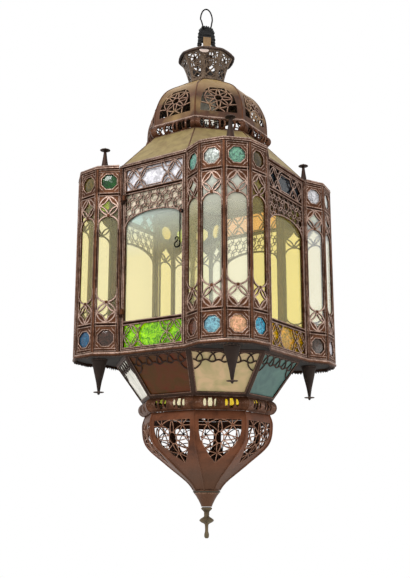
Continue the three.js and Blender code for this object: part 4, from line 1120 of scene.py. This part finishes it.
def crown_panel(turn):
    """A crown panel: side strips, a six-armed star over a leaf, and crossed ribs in a ring at the foot."""
    place = gore_place(crown_profile, turn)
    low, high = 3.0, place.length - 3.0
    rows = np.linspace(low - 2, high + 2, 12)
    strip = bar_section(5.2, -1.3, 0.3, 0.6)
    shells = [carried(np.stack([side * (place.half_width(rows) - 2.0), rows], 1), strip, place)
              for side in (-1, 1)]
    for s, width in ((low, 5.0), (high, 5.5)):
        half = place.half_width(s) - 0.5
        line = np.linspace((-half, s), (half, s), 9)
        shells.append(carried(line, bar_section(width, -1.3, 0.3, 0.5), place))
    star, foot_ring = np.array([0, high - 12]), (0, low + 13)
    paths = [oval(foot_ring, 9.6, 10.4, steps=49), oval(star, 9.5, 8.5, steps=37),
             *lens((0, foot_ring[1] + 10), star, 3.2)]
    arms = oval((0, 0), 1, 1, math.pi / 6, steps=7)
    for arm, following in zip(arms[:-1], arms[1:]):
        paths.append(np.linspace(star, star + 17 * arm, 25))
        paths.append(bowed(star + 8.5 * arm, star + 17 * following, 3, 25))
    for side in (-1, 1):
        paths += [np.linspace((side * -14, low), (side * 14, low + 26), 41),
                  oval((side * 15, foot_ring[1] + 13), 8, 12, steps=37)]

    def inside(x, s):
        return (np.abs(x) < place.half_width(s) - 1) & (s > low) & (s < high)

    return [*shells, *fretwork(paths, inside, bar_section(2.5, -1.0, 0.5, 0.6), place),
            pane(oval(star, 2.6, 2.6, steps=11)[:-1], -0.9, 0.9, place, 0.4, 2)]


def crown_rim():
    """The crown's rolled rim: a round bead whose sides bow out by r (1 + 0.045 sin(pi t)) from corner to
    corner, with four shallow scallops on each."""
    t = np.arange(8 * 16) / 16
    share = t - np.floor(t)
    start = (np.floor(t) + 0.5) * EIGHTH
    x, y = [(wave(start) * (1 - share) + wave(start + EIGHTH) * share) * (1 + 0.045 * np.sin(math.pi * share))
            for wave in (np.cos, np.sin)]
    a = np.arange(12)[:, None] * math.pi / 6
    r = CROWN_RIM + 0.4 + (2.3 + 0.4 * np.abs(np.sin(share * 4 * math.pi))) * np.cos(a)
    z = CROWN_TOP - 1.1 + 2.6 * np.sin(a) + 0 * t
    return grid(np.stack([r * x, r * y, z], -1), 0.45 + 0.45 * np.cos(a), BOTH)


piece("crown_panels", [shell for i in range(8) for shell in crown_panel(i * EIGHTH)], CROWN_METAL, "crown")
piece("crown_rim", [crown_rim()], IRON, "crown")
piece("crown_seams", corner_tubes(crown_profile[2:-2], 1.0, -1.0), CROWN_METAL, "crown")
# A pale bright patch near the crown's rim at the front.
patch = oval((-13.5, 50), 8.5, 3.6, steps=25)[:-1]
piece("crown_bright_patch", [pane(patch, 0.1, 0.8, gore_place(crown_profile, 0), 0.7, 4)], BRIGHT_PATCH_COLOUR, "crown")


# Taper
def taper_radius(z):
    """Corner radius of the taper at a height: it narrows evenly below the body."""
    return APOTHEM + 3.0 + TAPER_SLOPE * z


taper_profile = np.linspace(*[(taper_radius(z), z) for z in (TAPER_BOTTOM, TAPER_TOP)], 8)


def taper_side(turn):
    """One sloping side: its came round the pane, a bead along it, and lace over the top of the glass: half
    rings that cross each other on a wavy line, with a quarter ring down each side. The pane is apart."""
    place = gore_place(taper_profile, turn)
    length = place.length

    def corners(inset):
        low, high = inset + 0.3, length - inset - 0.3
        wide, narrow = [place.half_width(s) - 0.3 - inset * 0.9 for s in (low, high)]
        return np.array([(-wide, low), (wide, low), (narrow, high), (-narrow, high)])

    base = length - 21
    half = place.half_width(base) - 5
    x = np.linspace(-half - 4, half + 4, 121)
    paths = [oval((centre, base), 15, 15.5, 0, math.pi, 31) for centre in (np.arange(6) - 2.5) * 20]
    paths.append(np.stack([x, base - 1.8 * np.cos(x * 2 * math.pi / 20)], 1))
    paths += [oval((side * (half + 2), base + 1), 16, 17, math.pi, math.pi, 31) for side in (-1, 1)]

    def inside(x, s):
        return (np.abs(x) < place.half_width(s) - 5.2) & (s > 5.5) & (s < length - 5.4)

    metal = [sheet_ring(corners(0), corners(5.4), -1.6, -0.1, place),
             carried(corners(4.6), bar_section(1.6, -1.2, 0.6, 0.5), place, mitred=True),
             *fretwork(paths, inside, bar_section(2.3, -1.5, -0.2, 0.5) * [1, 1, 0.4], place)]
    return metal, pane(corners(3.4), -3.7, -1.8, place)


# Each pane: slot, colour and glass
TAPER_PANES = [("tan_glass", "#c4af82", OPAL_GLASS), ("green_glass", "#54706a", OPAL_GLASS),
               ("pale_glass", "#efe6d0", TAPER_GLASS), ("teal_glass", "#f0cc18", TAPER_GLASS),
               ("tan_glass", "#f8edc4", TAPER_GLASS), ("amber_glass", "#a0a23c", TAPER_GLASS),
               ("pale_glass", "#f2f0e4", OPAL_GLASS), ("brown_glass", "#56300f", OPAL_GLASS)]
taper_foot = [(-6, -0.1), (-0.3, -0.1), (0.3, 1.2), (-5, 1.6)]
taper_shells = [*corner_tubes(taper_profile, 1.4, -1.5),
                eight_sided([(taper_profile[0, 0] + lip, TAPER_BOTTOM + z) for lip, z in taper_foot],
                            [0.1, 0.6, 0.8, 0.2])]
for i, (slot, tint, material) in enumerate(TAPER_PANES):
    metal, glass = taper_side(i * EIGHTH)
    taper_shells += metal
    piece(f"taper_glass_{i + 1}", [glass], material, f"taper_pane_{i + 1}", tints=[tint])
piece("taper_cames", taper_shells, TAPER_METAL, "taper_frame")

# Tip and bottom finial: radius and depth below the bulb's foot or the tip's
TIP = [(0, 0.3), (21.4, 0.3), (21.8, 1), (21.8, 2.4), (20.6, 3.4), (20.9, 4.6), (17.4, 9), (13.4, 15.5),
       (10.2, 22), (8.5, BULB_FOOT - TIP_FOOT), (0, BULB_FOOT - TIP_FOOT)]
# How much painted shade, or wear with a painted highlight, the tip gets at each step of its profile
TIP_SHADING = [0.3, 0.4, 0.4, 0.3, 0.1, 0.8, 0.5, 0.5, 0.5, 0.7, 0.3]
COLLAR = [(21.2, 2.2), (22.2, 2.5), (22.3, 3.5), (21.2, 3.9), (21.2, 2.2)]
KNOB = [(7, 0.2), (9, 2.5), (7, 5), (4.5, 8), (4.3, 12), (4.5, 15), (9, 18), (11.7, 21), (9, 24), (3.6, 27),
        (2.7, 32), (2.7, 38), (3.7, 42), (3.8, 46), (2.3, 48.6), (0, 49)]
tip, collar = [[(r, BULB_FOOT - depth) for r, depth in pairs] for pairs in (TIP, COLLAR)]
knob = [(0, TIP_FOOT - 0.5), *[(max(r, 0), TIP_FOOT - 0.3 - depth) for r, depth in smooth_curve(KNOB, 90)]]
piece("tip_cone", [spun(tip, 40, TIP_SHADING)], RED_COPPER, "bulb_tip")
piece("tip_collar", [spun(collar)], VERDIGRIS, "bulb_tip")
piece("bottom_knob", [spun(knob, 32)], KNOB_BRONZE, "bottom_finial")

# Hanging bail, strap, cord and wire loop
ARCH_LENGTH = math.pi * BAIL_ARCH
LOOP_HALF, LOOP_BULGE = 11, 13.3


def bail_point(s, leg):
    """A place along the bail and the direction out of its arch: straight leaning legs and a half circle."""
    lean = (BAIL_FOOT_HALF - BAIL_ARCH) / (BAIL_TOP - BAIL_FOOT - BAIL_ARCH)
    side = np.where(s < leg, -1, np.where(s > leg + ARCH_LENGTH, 1, 0))
    down = np.where(side < 0, leg - s, np.where(side > 0, s - leg - ARCH_LENGTH, 0))
    angle = math.pi - np.clip((s - leg) / BAIL_ARCH, 0, math.pi)
    out = np.stack([np.where(side, side, np.cos(angle)), 0 * s, np.where(side, 0, np.sin(angle))], -1)
    x = np.where(side, side * (BAIL_ARCH + down * lean), BAIL_ARCH * np.cos(angle))
    z = BAIL_TOP - BAIL_ARCH + np.where(side, -down, BAIL_ARCH * np.sin(angle))
    return np.stack([x, 0 * s, z], -1), out


leg = BAIL_TOP - BAIL_ARCH - BAIL_FOOT - 1
stations = np.concatenate([np.linspace(0, leg, 14)[:-1], leg + np.linspace(0, ARCH_LENGTH, 25),
                           leg + ARCH_LENGTH + np.linspace(0, leg, 14)[1:]])
bail_shells = [tube(bail_point(stations, leg)[0], 1.6, (0, 1, 0), 14)]
BAIL_SHOE = [(0, 0), (4.9, 0), (5, 0.8), (4.2, 1.9), (2.2, 2.0), (0, 2.0)]
for side in (-1, 1):
    bail_shells.append(spun([(r, BAIL_FOOT + z) for r, z in BAIL_SHOE], 24, 0.6, (side * BAIL_FOOT_HALF, 0)))
piece("bail_rod", bail_shells, IRON, "bail")


def strap_place(x, z, d):
    """The strap leans forward as it rises: y = -d - 6.4 (height / 100)^2."""
    x, z, d = np.broadcast_arrays(x, z, d)
    return np.stack([x, -d - 6.4 * ((z - BAIL_FOOT) / 100) ** 2, z], -1)


# Name, half width, foot and head above the bail's foot, and metal: the shank inside the crown is given the
# dark iron as painted shade, the tab above the rim brass
STRAPS = (("strap_tab", 7.0, 71, 94, BRASS), ("shaded_strap_shank", 5.0, 0.2, 71.5, IRON))
for name, half, start, end, material in STRAPS:
    edges = [np.linspace((x, BAIL_FOOT + start), (x, BAIL_FOOT + end), 16) for x in (-half, half)]
    strap = sheet_patch(*edges, -1.0, 1.0, strap_place, 4, 0.6)
    piece(name, [strap], material, "hanging_strap")


def winding(leg, turns, steps):
    """A helix round the bail's arch and its legs, each point off the bail's line by a reach that wavers,
    turning in the plane of the arch's outward direction and the front."""
    s = np.linspace(0, 2 * leg + ARCH_LENGTH, turns * steps + 1)
    centre, out = bail_point(s, leg)
    turn = (np.arange(len(s)) * 2 * math.pi / steps)[:, None]
    reach = (2.7 + 0.5 * np.sin(s * 0.9) + 0.35 * np.sin(s * 2.3 + 1))[:, None]
    offset = reach * (np.cos(turn) * out + np.sin(turn) * np.array([0, 1.0, 0]))
    return tube(centre + offset, 1.6, offset, 8)


def lashing():
    """The cord's cross turns, which close the space between the legs below the wire loop: flat rounds of
    |cos|^0.7 by |sin|^0.7 that climb, sway and swell."""
    t = np.linspace(0, 8 * 2 * math.pi, 8 * 28)
    c, s = [np.sign(wave) * np.abs(wave) ** 0.7 for wave in (np.cos(t), np.sin(t))]
    line = [(12.4 - t / 16 + 0.6 * np.sin(t * 0.37)) * c, (3.0 + 0.5 * np.sin(t * 0.51)) * s,
            BAIL_TOP - 29 + 2.9 * t / (2 * math.pi) + 0.7 * np.sin(t * 1.3)]
    return tube(np.stack(line, 1), 1.7, (0, 0, 1), 8)


def wire_loop():
    """A tall loop, narrower below, whose lower half bulges to the front and back round the cord."""
    angle = np.linspace(0, 2 * math.pi, 64, endpoint=False)
    low, wave = np.maximum(0, -np.cos(angle)), np.sin(angle)
    line = [LOOP_HALF * np.sign(wave) * np.abs(wave) ** (1 - 0.45 * low), LOOP_BULGE * wave * low**0.6,
            LOOP_BOTTOM + LOOP_HEIGHT / 2 * (1 + np.cos(angle))]
    return tube(np.stack(line, 1), 1.3, (0, 1, 0), 10, closed=True)


piece("cord_binding", [winding(leg=25.0, turns=26, steps=20), lashing()], CORD, "cord_winding")
piece("hanging_wire", [wire_loop()], WIRE, "wire_loop")

# CAD pieces that keep their own solids
for name, material in (("lamp_stem", BRASS), ("lamp_holder", PORCELAIN), ("lamp_bulb", LAMP_GLASS),
                       ("hinge_lower", COPPER), ("hinge_upper", COPPER)):
    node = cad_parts[name]
    node.data.materials.clear()
    node.data.materials.append(material)

# Stage: a matt pale board, plain enough to keep the shadow and no reflection, in a white room
scene = bpy.context.scene
scene.view_settings.view_transform = "Standard"
board, tree, shader, spot = started("pale_board")
speckle = add(tree, "TexNoise", {"Vector": spot, "Scale": per_mm(40), "Detail": 2.0})
paint = add(tree, "Mix", {0: speckle, 6: "#f0efec", 7: "#f4f3f0"}, 2, data_type="RGBA")
feed(tree, shader, {"Base Color": paint, "Roughness": 0.9})
floor_mesh = bpy.data.meshes.new("floor")
half, floor_z = 1.6, cad_low.z - 0.35
floor_mesh.from_pydata([(x * half, y * half, floor_z) for x, y in ((-1, -1), (1, -1), (1, 1), (-1, 1))], [],
                       [(0, 1, 2, 3)])
floor_mesh.materials.append(board)
floor = bpy.data.objects.new("floor", floor_mesh)
scene.collection.objects.link(floor)

world = bpy.data.worlds.new("pale_room")
scene.world = world
world.use_nodes = True
tree = world.node_tree
tree.nodes.clear()
rays = add(tree, "LightPath", {}).node.outputs
seen = rays["Is Camera Ray"]
for ray in ("Is Glossy Ray", "Is Transmission Ray"):
    seen = add(tree, "Math", {0: seen, 1: rays[ray]}, operation="MAXIMUM")
room, white = [add(tree, "Background", {"Color": "#ffffff", "Strength": power}) for power in (0.95, 1.0)]
feed(tree, tree.nodes.new("ShaderNodeOutputWorld"), {0: add(tree, "MixShader", {0: seen, 1: room, 2: white})})

# Soft square lamps, each turned to the middle of the lantern
middle = np.array([0, 0, (cad_low.z + cad_high.z) / 2])
LAMPS = (("key_box", (-1.3, -1.5, 1.0), 0.9, 36), ("fill_box", (1.9, -1.0, -0.8), 1.2, 9),
         ("top_box", (0.2, 0.6, 1.2), 1.2, 10))
for name, place, width, power in LAMPS:
    light = bpy.data.lights.new(name, "AREA")
    light.shape, light.size, light.energy = "SQUARE", width, power
    lamp = bpy.data.objects.new(name, light)
    lamp.location = place
    x, y, z = middle - place
    lamp.rotation_euler = (math.atan2(math.hypot(x, y), -z), 0, math.atan2(x, -y) + math.pi)
    scene.collection.objects.link(lamp)

# Camera: below the lantern and a little to its left, as the photograph was taken
lens_data = bpy.data.cameras.new("camera")
lens_data.lens = 56.45
lens_data.sensor_width = 36
lens_data.clip_start = 0.05
camera = bpy.data.objects.new("camera", lens_data)
camera.location = (-0.3168, -1.4703, -0.8890)
camera.rotation_euler = (math.radians(90 + 13.48), 0, math.radians(-12.06))
scene.collection.objects.link(camera)
scene.camera = camera
